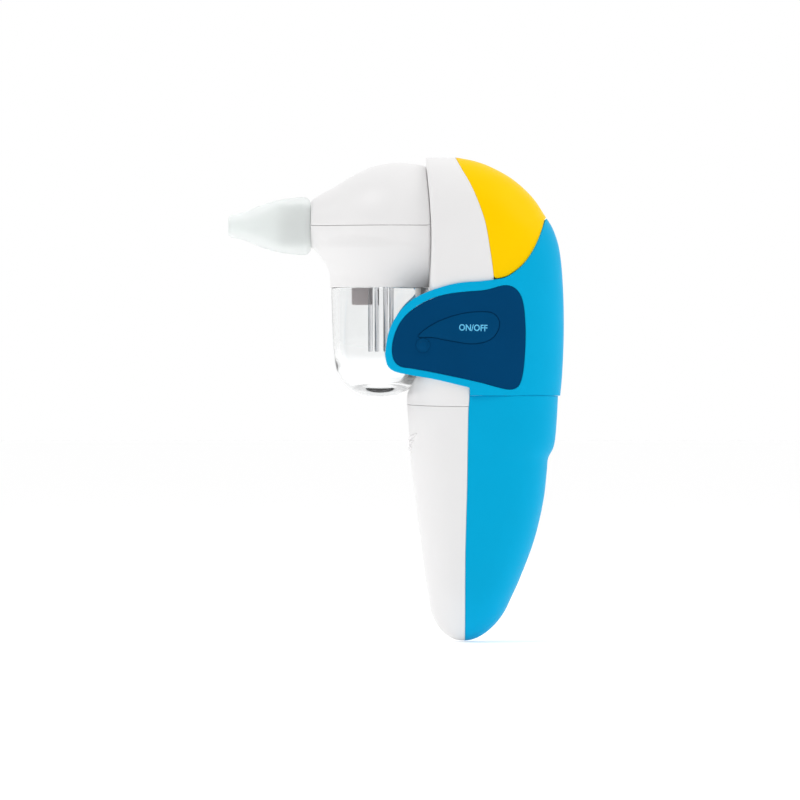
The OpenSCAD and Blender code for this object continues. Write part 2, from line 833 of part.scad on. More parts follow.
// ---- Air way between pump and head ---------------------------------------------------------
hose_r = 3;
hose_bore_r = 1.95;
hose_bend = 4.5;
hose_rise = 3.4;
module hose_run(r) {
    at_pump(port_z - hose_bend - hose_rise)
        cylinder(h = hose_rise, r = r, $fn = 32);
    translate([pump_x - hose_bend, 0, port_z - hose_bend])
        rotate([90, 0, 0])
            rotate_extrude(angle = 90, $fn = 48)
                translate([hose_bend, 0])
                    circle(r = r, $fn = 32);
    translate([-6.6, 0, port_z])
        rotate([0, 90, 0])
            cylinder(h = pump_x - hose_bend + 6.6, r = r, $fn = 32);
}
module suction_hose() {
    color([0.92, 0.92, 0.9])
    difference() {
        hose_run(hose_r);
        hose_run(hose_bore_r);
        at_pump(port_z - hose_bend - hose_rise - 1)
            cylinder(h = 2, r = hose_bore_r, $fn = 32);
        translate([-8, 0, port_z])
            rotate([0, 90, 0])
                cylinder(h = 4, r = hose_bore_r, $fn = 32);
    }
}
module vacuum_port() {
    color([0.9, 0.9, 0.9])
    translate([0, 0, port_z])
        rotate([0, 90, 0])
            difference() {
                union() {
                    translate([0, 0, -21])
                        cylinder(h = 10.5, r = port_r, $fn = 48);
                    translate([0, 0, -11.5])
                        cylinder(h = 1.5, r = 6, $fn = 48);
                    translate([0, 0, -10.5])
                        cylinder(h = 8, r = 1.9, $fn = 32);
                }
                translate([0, 0, -22])
                    cylinder(h = 22, r = 1.1, $fn = 32);
                translate([0, 0, -18])
                    tube(port_r + 1, port_r - 0.7, 1.6);
            }
}
module port_seal() {
    color([0.15, 0.15, 0.15])
    translate([-17.2, 0, port_z])
        rotate([0, 90, 0])
            rotate_extrude($fn = 48)
                translate([port_r - 0.02, 0])
                    circle(r = 0.6, $fn = 24);
}

// ---- Suction head --------------------------------------------------------------------------
head_back_x = face_x - 0.08;
head_profile = [[neck_x, 8.7], [-50, 10.9], [-44.4, 14], [-37.6, 17.9], [-32.5, 20.1], [-27, 21.2],
                [-23, 21.5], [-18, 21.1], [head_back_x, 20.3]];
profile_steps = 14;
function head_line(inset, x0, x1) =
    concat([[0, x0]],
           [for (k = [0:profile_steps])
               let (x = x0 + (x1 - x0) * k / profile_steps) [curve(head_profile, x) - inset, x]],
           [[0, x1]]);
module about_axis() {
    translate([0, 0, axis_z])
        rotate([0, 90, 0])
            rotate_extrude($fn = 64)
                children();
}
module head_round(inset, x0, x1) {
    about_axis()
        polygon(head_line(inset, x0, x1));
}
module above(z) {
    translate([-90, -40, z])
        cube([90, 80, 60]);
}
split_gap = 0.04;
sleeve_r = port_r + 0.62;
module head_upper_shell() {
    color([0.97, 0.97, 0.96])
    difference() {
        union() {
            difference() {
                head_round(0, neck_x, head_back_x);
                head_round(head_wall, neck_x + head_wall, head_back_x - head_wall);
            }
            translate([-24, 0, port_z])
                rotate([0, 90, 0])
                    cylinder(h = 10, r = sleeve_r + 1.6, $fn = 48);
        }
        translate([0, 0, -60 + axis_z + split_gap])
            translate([-90, -40, 0])
                cube([90, 80, 60]);
        translate([-25, 0, port_z])
            rotate([0, 90, 0])
                cylinder(h = 14, r = sleeve_r, $fn = 48);
        stub_seat();
    }
}
module stub_seat() {
    translate([neck_x - 1, 0, axis_z])
        rotate([0, 90, 0])
            cylinder(h = 6, r = stub_r + 0.02, $fn = 48);
}

skirt_z = 37.7;
floor_z = 44.6;
floor_t = 1.6;
skirt_bore_r = 15.25;
inlet_x = -35.5;
inlet_w = 6.8;
cage_x = cup_x + 0.4;
module head_lower_shell() {
    color([0.97, 0.97, 0.96])
    difference() {
        union() {
            head_round(0, neck_x, head_back_x);
            translate([cup_x, 0, skirt_z])
                cylinder(h = 14, r = skirt_r, $fn = 64);
            tongue(0);
        }
        above(axis_z - split_gap);
        difference() {
            head_round(head_wall, neck_x + head_wall, head_back_x - head_wall);
            translate([-90, -40, 0])
                cube([90, 80, floor_z + floor_t]);
        }
        translate([cup_x, 0, 0])
            cylinder(h = floor_z, r = skirt_bore_r, $fn = 64);
        translate([head_back_x, -40, 0])
            cube([20, 80, tongue_z - 1]);
        translate([head_back_x, -40, tongue_z + 1])
            cube([20, 80, 30]);
        translate([inlet_x - inlet_w / 2, -inlet_w / 2, 30])
            cube([inlet_w, inlet_w, 20]);
        translate([cage_x, 0, 30])
            cylinder(h = 20, r = 1.9, $fn = 32);
        translate([-30, -40, 0])
            cube([30, 80, skirt_z]);
        stub_seat();
    }
}

module nozzle_stub() {
    color([0.95, 0.95, 0.94])
    about_axis()
        polygon([[stub_bore_r, -64], [stub_r - 0.5, -64], [stub_r, -63.4], [stub_ring_r, -62.9],
                 [stub_ring_r, -61.3], [stub_r, -60.9], [stub_r, -59.9], [stub_ring_r, -59.7],
                 [stub_ring_r, -58.5], [stub_r, -58.3], [stub_r, -57.6], [stub_ring_r, -57.4],
                 [stub_ring_r, -56.6], [stub_r, -56.4], [stub_r, neck_x + head_wall + 0.05],
                 [stub_r + 0.7, neck_x + head_wall + 0.05], [stub_r + 0.7, -49.6], [stub_r, -49.6],
                 [stub_r, -47.5], [stub_bore_r, -47.5]]);
}

module inlet_tube() {
    color([0.72, 0.68, 0.66])
    translate([inlet_x, 0, 0])
        difference() {
            union() {
                translate([-inlet_w / 2, -inlet_w / 2, 32.1])
                    cube([inlet_w, inlet_w, floor_z + floor_t + 1 - 32.1]);
                translate([-inlet_w / 2 - 0.9, -inlet_w / 2 - 0.9, floor_z + floor_t + 0.02])
                    cube([inlet_w + 1.8, inlet_w + 1.8, 1]);
            }
            translate([-2.5, -2.5, 30])
                cube([5, 5, 30]);
        }
}

rod_r = 0.75;
rod_ring_r = 3.8;
rod_low_z = 15.8;
cage_top_z = floor_z - 0.02;
cage_plate_r = 6.5;
cage_plate_t = 1.2;
rod_places = concat([for (a = [22.5, 67.5, 112.5, -22.5, -67.5, -112.5]) rod_ring_r * [cos(a), sin(a)]],
                    [[-3.6, 4.3], [-3.6, -4.3]]);
module suction_cage() {
    color([0.9, 0.93, 0.95, 0.5])
    difference() {
        translate([cage_x, 0, 0])
            union() {
                for (p = rod_places)
                    translate([p[0], p[1], rod_low_z])
                        cylinder(h = cage_top_z - rod_low_z - 0.5, r = rod_r, $fn = 24);
                translate([0, 0, cage_top_z - cage_plate_t])
                    cylinder(h = cage_plate_t, r = cage_plate_r, $fn = 48);
            }
        translate([cage_x, 0, cage_top_z - 3])
            cylinder(h = 4, r = 1.9, $fn = 32);
        translate([inlet_x - inlet_w / 2 - 4, -inlet_w / 2 - 0.06, cage_top_z - 3])
            cube([inlet_w + 4.06, inlet_w + 0.12, 4]);
    }
}

module cup_seal() {
    color([0.88, 0.9, 0.9])
    translate([cup_x, 0, 40.6])
        rotate_extrude($fn = 64)
            polygon([[cup_neck_r + 0.02, -0.8], [skirt_bore_r - 0.06, -0.4], [skirt_bore_r - 0.06, 0.4],
                     [cup_neck_r + 0.02, 0.8]]);
}

cup_inner = [[13.2, 36], [13.9, 30], [13.9, 20], [13.3, 14], [12, 10.4], [9.6, 7.2], [6.4, 5.3], [0, 4.6]];
module collection_cup() {
    color([0.9, 0.95, 0.97, 0.35])
    translate([cup_x, 0, 0])
        rotate_extrude($fn = 64)
            polygon(concat(cup_outer, [[cup_r, skirt_z - 0.1], [cup_neck_r, skirt_z - 0.1],
                                       [cup_neck_r, 43.8], [13.2, 43.8]], cup_inner));
}

// ---- Nose tip ------------------------------------------------------------------------------
tip_profile = [[tip_x, 3.1], [tip_x + 1.1, 3.75], [-75.3, 4.85], [-71.2, 6.6], [-66.8, 8.15],
               [-61.7, 9.2], [-56.6, 9.75], [-54.3, 9.6], [-53, 8.4]];
module nose_tip() {
    color([0.85, 0.9, 0.88, 0.8])
    about_axis()
        polygon(concat(
            [for (k = [0:24]) let (x = tip_x + (-53 - tip_x) * k / 24) [curve(tip_profile, x), x]],
            [[stub_ring_r + 0.05, -53], [stub_ring_r + 0.05, -64.4], [4.6, -67.6],
             [tip_bore_r, tip_x + tip_bore_len], [tip_bore_r, tip_x]]));
}

front_housing();
rear_housing();
crown_cover();
key_panel();
grip_panel();
panel_studs();
power_key();
key_plunger();
power_switch();
circuit_board();
board_chips();
sleeve_front();
sleeve_rear();
battery_carrier();
battery_left();
battery_right();
battery_springs();
battery_contacts();
battery_leads();
motor_leads();
motor_can();
motor_end_cap();
motor_magnets();
motor_bushes();
motor_rotor();
motor_shaft();
eccentric();
crank_pin();
wobble_plate();
plate_stems();
crank_case();
diaphragm();
chamber_block();
valve_discs();
pump_cover();
pump_screws();
pump_cradle();
suction_hose();
vacuum_port();
port_seal();
head_upper_shell();
head_lower_shell();
nozzle_stub();
inlet_tube();
suction_cage();
cup_seal();
collection_cup();
nose_tip();
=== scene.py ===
import math

import bmesh
import bpy
import numpy as np
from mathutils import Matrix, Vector
from mathutils.geometry import delaunay_2d_cdt


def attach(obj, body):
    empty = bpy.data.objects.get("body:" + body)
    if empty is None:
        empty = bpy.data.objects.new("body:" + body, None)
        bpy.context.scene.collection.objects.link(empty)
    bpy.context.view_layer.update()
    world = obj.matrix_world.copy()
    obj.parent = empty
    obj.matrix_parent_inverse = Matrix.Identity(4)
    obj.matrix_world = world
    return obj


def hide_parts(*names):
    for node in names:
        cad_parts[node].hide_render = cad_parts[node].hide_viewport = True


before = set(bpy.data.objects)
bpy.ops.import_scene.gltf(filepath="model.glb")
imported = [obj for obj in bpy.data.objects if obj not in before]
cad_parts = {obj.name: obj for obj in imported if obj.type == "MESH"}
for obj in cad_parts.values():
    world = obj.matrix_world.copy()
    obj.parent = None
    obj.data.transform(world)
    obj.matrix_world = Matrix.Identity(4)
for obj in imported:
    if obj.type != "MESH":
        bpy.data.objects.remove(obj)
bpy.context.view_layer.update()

# Lengths below are in millimetres, as in the CAD model, until a mesh is made.
MM = 0.001
HALF_PI = math.pi / 2

# ---- The object's form, as the CAD model states it ------------------------------------------
AXIS_Z = 58.6
ARCH_R = 23.3
CREST = AXIS_Z + ARCH_R * HALF_PI
FACE_X = -13.4
WALL = 1.8
PROUD = 0.9
WING_BEND = 0.0043
SIDE_ROUNDNESS = 2.2
FRONT_SEAM = -2.7
BACK_SEAM = 0.9
BODY_BACK = [[-6, 31.2], [1, 31.9], [9, 32.6], [23, 33.1], [38, 32.8], [50.5, 31.6], [57.6, 29.4],
             [62.5, 26.4], [68.5, 22.3], [74.6, 15.6], [78.7, 8.3], [80.8, 2.5], [81.9, -3.2]]
BODY_FRONT = [[-6, -19.9], [-2, -20.2], [1.5, -20.1], [3.4, -19.4], [6.8, -17.9], [9.5, -15.6],
              [12, FACE_X - 0.3], [14, FACE_X], [90, FACE_X]]
FACE_SPAN = (20, 82)  # heights over which the body's face bulges
FACE_BULGE = [[20, 0], [30, 0.3], [37.5, 0.7], [47, 1.2], [57, 1.3], [68, 0.7], [76, 0], [82, -0.4]]
BODY_WIDTH = [[-6, 19.4], [0, 19.6], [12, 20.6], [25, 21.5], [40, 22.6], [AXIS_Z, ARCH_R]]
BODY_MIDDLE = [[-6, 3], [2, 1.5], [12, -3.5], [20, -4], [90, -4]]
LEAST_BACK = 0.6
BODY_SQUARENESS = [[-6, 2.4], [0, 2.4], [12, 4], [34, 5], [42, 20], [90, 20]]
BORDER_X = [[-90, -0.5], [-55, -0.5], [-28, 0.15], [-5, 0.5], [3.3, 1.0], [90, 1.0]]

FOOT_Z = -82.3
DEPTH_CAP_Z = -70
WIDTH_CAP_Z = -62
FOOT_WAY = 18.0
CAP_ROUNDNESS = 2.2
GRIP_ROUNDNESS = 2.4
GRIP_FRONT = [[-90, -9.8], [-68.5, -12.8], [-61.7, -13.9], [-48.1, -15.6], [-34.5, -17.3],
              [-22, -18.8], [-11.4, -19.5], [-2, -20.2], [6, -20.2]]
GRIP_BACK = [[-90, 5.5], [-76, 11.5], [-68.5, 14.8], [-61.7, 17.9], [-48.1, 23], [-34.5, 26.2],
             [-24, 27.4], [-20.2, 27.8], [-16.6, 29.6], [-11.4, 30.4], [0, 31.1], [6, 31.3]]
GRIP_WIDTH = [[-90, 10], [-70, 15.6], [-62, 17.1], [-56, 17.8], [-40, 18.5], [-20, 19.1],
              [0, 19.6], [6, 19.8]]

CUP_X = -29.4
CUP_OUTER = [[0, 0.5], [4.4, 0.5], [6.6, 1.2], [9.9, 3.2], [12.3, 5.6], [14.6, 9.4], [15.5, 14],
             [16, 20], [16.6, 36.4]]
CUP_INNER = [[13.9, 34], [13.9, 30], [13.9, 20], [13.3, 14], [12, 10.4], [9.6, 7.2], [6.4, 5.3],
             [0, 4.6]]
NEST_GAP = 0.6
NEST_SPAN = (0.5, 39)  # heights over which the body is hollowed for the cup

HEAD_PROFILE = [[-58, 5.4], [-52.9, 8.7], [-50, 10.4], [-44.4, 13.5], [-37.6, 17.6], [-32.5, 19.9],
                [-27, 21.2], [-23, 21.5], [-18, 21.1], [-13.48, 20.3], [-8, 19.6]]
CHIN_PROFILE = [[-58, 4.6], [-52.9, 7.1], [-50.5, 8.5], [-48.4, 10.4], [-44.4, 13.2], [-37.6, 17.4],
                [-32.5, 19.9], [-27, 21.1], [-23, 21.4], [-18, 21.0], [-13.48, 20.2], [-8, 19.5]]
HEAD_WALL = 1.9
HEAD_GAP = 0.08
NECK_X = -52.9
SKIRT_R = 17
SKIRT_Z = 37.7
TIP_X = -80.9
TIP_PROFILE = [[-80.9, 3.1], [-79.8, 3.75], [-75.3, 4.85], [-71.2, 6.6], [-66.8, 8.15],
               [-61.7, 9.2], [-56.6, 9.75], [-54.3, 9.6], [-53, 8.4]]

STUD_PLACE = (-14.8, 18.0)
STUD_R = 2.4
KEY_GAP = 0.13


# ---- Curves and outlines ------------------------------------------------------------------
def curve(knots, s):
    """Smooth cubic through [place, value] knots."""
    k = np.asarray(knots, float)
    s = np.asarray(s, float)
    last = len(k) - 1
    every = np.arange(last + 1)
    low, high = np.maximum(every - 1, 0), np.minimum(every + 1, last)
    slope = (k[high, 1] - k[low, 1]) / (k[high, 0] - k[low, 0])
    i = np.clip(np.searchsorted(k[:, 0], s, side="right") - 1, 0, last - 1)
    h = k[i + 1, 0] - k[i, 0]
    t = np.clip((s - k[i, 0]) / h, 0, 1)
    t2, t3 = t * t, t * t * t
    return ((2 * t3 - 3 * t2 + 1) * k[i, 1] + (t3 - 2 * t2 + t) * h * slope[i]
            + (3 * t2 - 2 * t3) * k[i + 1, 1] + (t3 - t2) * h * slope[i + 1])


def spline(points, steps, closed=False):
    """Smooth line through points, with steps between two of them."""
    p = np.asarray(points, float)
    m = len(p)
    made = []
    for i in range(m if closed else m - 1):
        if closed:
            a, b, c, d = p[i - 1], p[i], p[(i + 1) % m], p[(i + 2) % m]
        else:
            a, b, c, d = p[max(i - 1, 0)], p[i], p[i + 1], p[min(i + 2, m - 1)]
        for t in np.arange(steps) / steps:
            made.append(0.5 * (2 * b + (c - a) * t + (2 * a - 5 * b + 4 * c - d) * t * t
                               + (3 * b - a - 3 * c + d) * t ** 3))
    if not closed:
        made.append(p[-1])
    return np.array(made)


def resample(points, step, closed=False):
    """The same line with its points about step apart; its ends stay."""
    p = np.asarray(points, float)
    if closed:
        p = np.vstack([p, p[:1]])
    run = np.r_[0, np.cumsum(np.linalg.norm(np.diff(p, axis=0), axis=1))]
    n = max(int(round(run[-1] / step)), 2)
    at = np.linspace(0, run[-1], n + 1)
    made = np.column_stack([np.interp(at, run, p[:, i]) for i in range(p.shape[1])])
    return made[:-1] if closed else made


def filleted(points, cut, steps=4):
    """The same polyline with each inner corner rounded."""
    p = [np.asarray(q, float) for q in points]
    made = [p[0]]
    for a, b, c in zip(p, p[1:], p[2:]):
        reach = min(cut, 0.45 * np.linalg.norm(b - a), 0.45 * np.linalg.norm(c - b))
        start = b + (a - b) / np.linalg.norm(a - b) * reach
        end = b + (c - b) / np.linalg.norm(c - b) * reach
        for t in np.linspace(0, 1, steps + 1):
            made.append((1 - t) ** 2 * start + 2 * t * (1 - t) * b + t * t * end)
    made.append(p[-1])
    return np.array(made)


def side_offset(p, d):
    """A closed outline moved outwards by d."""
    run = np.roll(p, -1, axis=0) - np.roll(p, 1, axis=0)
    n = np.column_stack([-run[:, 1], run[:, 0]]) / np.linalg.norm(run, axis=1)[:, None]
    area = 0.5 * np.sum(p[:, 0] * np.roll(p[:, 1], -1) - np.roll(p[:, 0], -1) * p[:, 1])
    return p + (d if area < 0 else -d) * n


def softened(points, closed=False, passes=3):
    """The same line with its corners cut, again and again."""
    p = np.asarray(points, float)
    for _ in range(passes):
        a, b = (p, np.roll(p, -1, axis=0)) if closed else (p[:-1], p[1:])
        cut = np.empty((2 * len(a), p.shape[1]))
        cut[0::2], cut[1::2] = 0.75 * a + 0.25 * b, 0.25 * a + 0.75 * b
        p = cut if closed else np.vstack([p[:1], cut[1:-1], p[-1:]])
    return p


crown_border = spline([[-3.7, 81.9], [-1.7, 77.9], [0.7, 73.7], [2.9, 69], [4.8, 64.1], [6.5, 58.4],
                       [8.3, 47.5], [9.2, 40.1]], 6)
back_border = spline([[9.2, 40.1], [13, 40.8], [16.4, 42.8], [19.7, 45.8], [22.6, 50], [24.9, 55],
                      [26.8, 60.6]], 7)
wing_edge = softened([[-2.2, 4.4], [-10.7, 6.5], [-15.8, 7.3], [-21.3, 8.3], [-24.6, 9.0], [-26.8, 10.6],
                      [-27.6, 13.4], [-27.5, 17], [-26.8, 21.5], [-25.4, 25.4], [-22.8, 29.4],
                      [-20.2, 32.1], [-17.4, 34.2], [-12.4, 36.4], [-5.6, 38.5], [-0.5, 39.3],
                      [4.6, 39.5], [9.2, 40.1]])
panel_outline = softened([[-2.2, 35.9], [-9, 34.8], [-14.1, 32.8], [-18.3, 30.2], [-21.8, 27],
                          [-24, 23], [-25.2, 18.9], [-25.4, 15.5], [-24.6, 12.3], [-22.4, 10.6],
                          [-19, 10.3], [-9, 8.4], [4.6, 5.5], [9.7, 4], [13.8, 3], [16.4, 3.2],
                          [18.1, 4.8], [19.2, 9.5], [19.7, 16], [19.9, 21.6], [19.7, 27], [19.2, 32],
                          [18, 35.6], [16, 37.6], [13.6, 38.3], [11.3, 38], [8.6, 37.1],
                          [5.6, 36.4]], closed=True)
key_outline = spline([[-16.5, 21], [-10.4, 25.6], [-1.2, 28.7], [8, 29], [11, 25.4], [8.6, 20.4],
                      [2.5, 18.5], [-5, 19.4], [-11.4, 20.6]], 10, closed=True)


# ---- Surfaces -----------------------------------------------------------------------------
def superellipse(angle, power):
    """Point of a unit superellipse in the direction of angle."""
    c, s = np.cos(angle), np.sin(angle)
    r = (np.abs(c) ** power + np.abs(s) ** power) ** (-1 / power)
    return r * c, r * s


def body_level(v):
    """Height and half width of the body, at the way v up its side and over its arch."""
    over = np.clip((v - AXIS_Z) / ARCH_R, 0, HALF_PI)
    z = np.where(v > AXIS_Z, AXIS_Z + ARCH_R * np.sin(over), v)
    w = np.where(v > AXIS_Z, ARCH_R * np.cos(over), curve(BODY_WIDTH, np.minimum(v, AXIS_Z)))
    return z, w


def way_up(z):
    """The way v at which body_level gives the height z."""
    z = np.asarray(z, float)
    over = np.arcsin(np.clip((z - AXIS_Z) / ARCH_R, 0, 1))
    return np.where(z > AXIS_Z, AXIS_Z + ARCH_R * over, z)


def face_bulge(z):
    return curve(FACE_BULGE, np.clip(z, *FACE_SPAN))


def body_section(z):
    """The casing's front, middle and back in x at height z, and how square its front is."""
    back = curve(BODY_BACK, z)
    mid = np.minimum(curve(BODY_MIDDLE, z), back - LEAST_BACK)
    front = curve(BODY_FRONT, z) + face_bulge(z)
    return front, mid, back, curve(BODY_SQUARENESS, z)


def body_point(angle, v, side, grow=0.0):
    """Point of the casing: angle 0 is the middle of the back and pi the middle of the front."""
    z, w = body_level(v)
    front, mid, back, squareness = body_section(z)
    c, s = superellipse(angle, np.where(np.cos(angle) < 0, squareness, SIDE_ROUNDNESS))
    x = mid + np.where(c < 0, mid - front, back - mid) * c
    y = side * (w + grow) * s
    cup = np.array(CUP_OUTER)
    nest = np.interp(z, cup[1:, 1], cup[1:, 0]) + NEST_GAP
    nest = np.where((z > NEST_SPAN[0]) & (z < NEST_SPAN[1]), nest, 0)
    hollow = CUP_X + np.sqrt(np.maximum(nest ** 2 - y ** 2, 0))
    x = np.where((c < 0) & (np.abs(y) < nest), np.maximum(x, hollow), x)
    return np.column_stack([x, y, z])


def body_angle(x, z):
    """The angle at which the casing's section at height z has this x."""
    front, mid, back, squareness = body_section(z)
    reach = np.where(x < mid, mid - front, back - mid)
    power = np.where(x < mid, squareness, SIDE_ROUNDNESS)
    run = np.clip(np.abs(x - mid) / reach, 0, 1)
    rise = (1 - run ** power) ** (1 / power)
    return np.where(x < mid, math.pi - np.arctan2(rise, run), np.arctan2(rise, run))


ROUND = 24.0  # millimetres along the surface for each radian of section angle


def white_surface(u, v):
    return body_point(math.pi - np.abs(u) / ROUND, v, np.sign(u))


def crown_surface(u, v):
    return body_point(np.abs(u) / ROUND, v, np.sign(u))


def wing_y(x, z):
    """Half width of the blue back and its wings in the side view."""
    _, mid, back, _ = body_section(z)
    w = curve(BODY_WIDTH, z) + PROUD
    run = np.clip((x - mid) / (back - mid), 0, 1)
    behind = w * (1 - run ** SIDE_ROUNDNESS) ** (1 / SIDE_ROUNDNESS)
    return np.where(x > mid, behind, w - WING_BEND * (x - mid) ** 2)


def blue_surface(u, v):
    """The back round to the sides; past the widest place it goes on flat as the wings."""
    flat = np.abs(u) - ROUND * HALF_PI
    back = body_point(np.minimum(np.abs(u) / ROUND, HALF_PI), v, np.sign(u), PROUD)
    _, mid, _, _ = body_section(v)
    x = mid - np.maximum(flat, 0)
    wing = np.column_stack([x, np.sign(u) * wing_y(x, v), v])
    return np.where((flat > 0)[:, None], wing, back)


def blue_place(points):
    """Side-view points (x, z) in the flat coordinates of blue_surface."""
    x, z = points[:, 0], points[:, 1]
    _, mid, _, _ = body_section(z)
    u = np.where(x < mid, ROUND * HALF_PI + mid - x, ROUND * body_angle(np.maximum(x, mid), z))
    return np.column_stack([u, way_up(z)])


def grip_level(v):
    """Height of the sleeve at the way v down its side and round its foot."""
    down = np.clip((DEPTH_CAP_Z - v) / FOOT_WAY, 0, 1) * HALF_PI
    return np.where(v < DEPTH_CAP_Z, DEPTH_CAP_Z + (FOOT_Z - DEPTH_CAP_Z) * np.sin(down), v)


def end_cap(start, z):
    u = np.clip((start - z) / (start - FOOT_Z), 0, 1)
    return (1 - u ** CAP_ROUNDNESS) ** (1 / CAP_ROUNDNESS)


def grip_section(z):
    front, back = curve(GRIP_FRONT, z), curve(GRIP_BACK, z)
    return ((front + back) / 2, (back - front) / 2 * end_cap(DEPTH_CAP_Z, z),
            curve(GRIP_WIDTH, z) * end_cap(WIDTH_CAP_Z, z))


def grip_point(angle, v, side):
    z = grip_level(v)
    mid, half, w = grip_section(z)
    c, s = superellipse(angle, GRIP_ROUNDNESS)
    return np.column_stack([mid + half * c, side * w * s, z])


def grip_front_surface(u, v):
    return grip_point(math.pi - np.abs(u) / ROUND, v, np.sign(u))


def grip_rear_surface(u, v):
    return grip_point(np.abs(u) / ROUND, v, np.sign(u))


def grip_border_angle(v, aside):
    """The angle of the colour border, moved aside in x; 0 where all the section lies in front."""
    mid, half, _ = grip_section(grip_level(v))
    x = curve(BORDER_X, grip_level(v)) + aside
    run = np.clip((x - mid) / np.maximum(half, 1e-6), -1, 1)
    rise = (1 - np.abs(run) ** GRIP_ROUNDNESS) ** (1 / GRIP_ROUNDNESS)
    return np.arctan2(rise, run)


# ---- Mesh making ----------------------------------------------------------------------------
def inside(points, outline):
    """Which points lie inside a closed outline."""
    a, b = outline, np.roll(outline, -1, axis=0)
    x, y = points[:, :1], points[:, 1:2]
    crosses = (a[None, :, 1] > y) != (b[None, :, 1] > y)
    rise = np.where(b[:, 1] == a[:, 1], 1, b[:, 1] - a[:, 1])
    at = a[None, :, 0] + (y - a[None, :, 1]) / rise * (b[:, 0] - a[:, 0])
    return np.sum(crosses & (x < at), axis=1) % 2 == 1


def clearance(points, outline):
    """Distance of each point from a closed outline."""
    a, b = outline, np.roll(outline, -1, axis=0)
    d = b - a
    t = np.einsum("ijk,jk->ij", points[:, None] - a[None], d) / np.maximum((d ** 2).sum(1), 1e-12)
    near = a[None] + np.clip(t, 0, 1)[..., None] * d[None]
    return np.linalg.norm(points[:, None] - near, axis=2).min(1)


LATTICE_ROW = 0.866  # height of an equal-sided triangle, as a share of its side
LATTICE_CLEAR = 0.55


def fill(outline, holes, step):
    """Triangles over a flat outline with holes: its own points and an even lattice inside it."""
    loops = [outline] + list(holes)
    low, high = outline.min(0), outline.max(0)
    rows = int((high[1] - low[1]) / (step * LATTICE_ROW)) + 1
    columns = int(max(abs(low[0]), abs(high[0])) / step) + 2
    lattice = []
    for j in range(rows):
        shift = 0.5 * (j % 2)
        for i in range(-columns, columns + 1):
            lattice.append([(i + shift) * step, low[1] + (j + 0.5) * step * LATTICE_ROW])
            if shift and i == columns:
                lattice.append([-(i + shift) * step, lattice[-1][1]])
    lattice = np.array(lattice)
    keep = inside(lattice, outline) & (clearance(lattice, outline) > LATTICE_CLEAR * step)
    for hole in holes:
        keep &= ~inside(lattice, hole) & (clearance(lattice, hole) > LATTICE_CLEAR * step)
    points = np.vstack(loops + [lattice[keep]])
    edges, start = [], 0
    for loop in loops:
        n = len(loop)
        edges += [(start + i, start + (i + 1) % n) for i in range(n)]
        start += n
    verts, _, faces, _, _, _ = delaunay_2d_cdt([Vector(q) for q in points], edges, [], 0, 1e-6)
    verts = np.array([list(q) for q in verts])
    faces = np.array([list(f) for f in faces])
    centre = verts[faces].mean(1)
    kept = inside(centre, outline)
    for hole in holes:
        kept &= ~inside(centre, hole)
    return verts, faces[kept]


def open_sheet(points, faces, centre):
    """bmesh of a surface with its faces turned away from centre."""
    bm = bmesh.new()
    made = [bm.verts.new(p) for p in points]
    for f in faces:
        bm.faces.new([made[i] for i in f])
    bmesh.ops.remove_doubles(bm, verts=bm.verts, dist=2e-3)
    loose = [v for v in bm.verts if not v.link_faces]
    bmesh.ops.delete(bm, geom=loose, context="VERTS")
    bm.normal_update()
    centre = Vector(centre)
    turned = sum(f.normal.dot(f.calc_center_median() - centre) * f.calc_area() for f in bm.faces)
    if turned < 0:
        bmesh.ops.reverse_faces(bm, faces=bm.faces)
    bm.normal_update()
    return bm


def thicken(bm, wall, roll, turns=4):
    """Gives an open surface an inner face and a rolled rim along each of its borders."""
    place = {v: v.co.copy() for v in bm.verts}
    normal = {v: v.normal.copy() for v in bm.verts}
    faces = [list(f.verts) for f in bm.faces]
    rim = []
    into = {}
    for e in bm.edges:
        if len(e.link_faces) == 1:
            loop = next(k for k in e.link_faces[0].loops if k.edge == e)
            a, b = loop.vert, loop.link_loop_next.vert
            rim.append((a, b))
            d = e.link_faces[0].normal.cross(place[b] - place[a]).normalized()
            for v in (a, b):
                into[v] = into.get(v, Vector()) + d
    inner = {v: bm.verts.new(place[v] - normal[v] * wall) for v in place}
    for f in faces:
        bm.faces.new([inner[v] for v in reversed(f)])
    rows = {}
    for v, total in into.items():
        spread = max(total.length / 2, 0.5)
        d = total - normal[v] * total.dot(normal[v])
        d = d.normalized() / spread
        ring = [v]
        v.co = place[v] + d * roll
        for k in range(1, turns + 1):
            a = HALF_PI * k / turns
            ring.append(bm.verts.new(place[v] + d * roll * (1 - math.sin(a))
                                     - normal[v] * roll * (1 - math.cos(a))))
        rows[v] = ring + [inner[v]]
    for a, b in rim:
        for k in range(turns + 1):
            bm.faces.new([rows[b][k], rows[a][k], rows[a][k + 1], rows[b][k + 1]])
    return bm


def finish_piece(name, bm, material, body, nodes=(), sharp=None):
    """Turns a bmesh in millimetres into a smooth piece that rides on a body."""
    bmesh.ops.scale(bm, vec=(MM, MM, MM), verts=bm.verts)
    mesh = bpy.data.meshes.new(name)
    bm.to_mesh(mesh)
    bm.free()
    mesh.shade_smooth()
    mesh.materials.append(material)
    obj = bpy.data.objects.new(name, mesh)
    bpy.context.scene.collection.objects.link(obj)
    if sharp is not None:
        mesh.set_sharp_from_angle(angle=math.radians(sharp))
    even = obj.modifiers.new("even_shading", "WEIGHTED_NORMAL")
    even.keep_sharp = sharp is not None
    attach(obj, body)
    if nodes:
        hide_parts(*nodes)
    return obj


def both_sides(right):
    """A flat outline from its right half, which starts and ends on the middle line."""
    left = right[::-1] * np.array([-1, 1])
    return np.vstack([right, left[1:-1]])


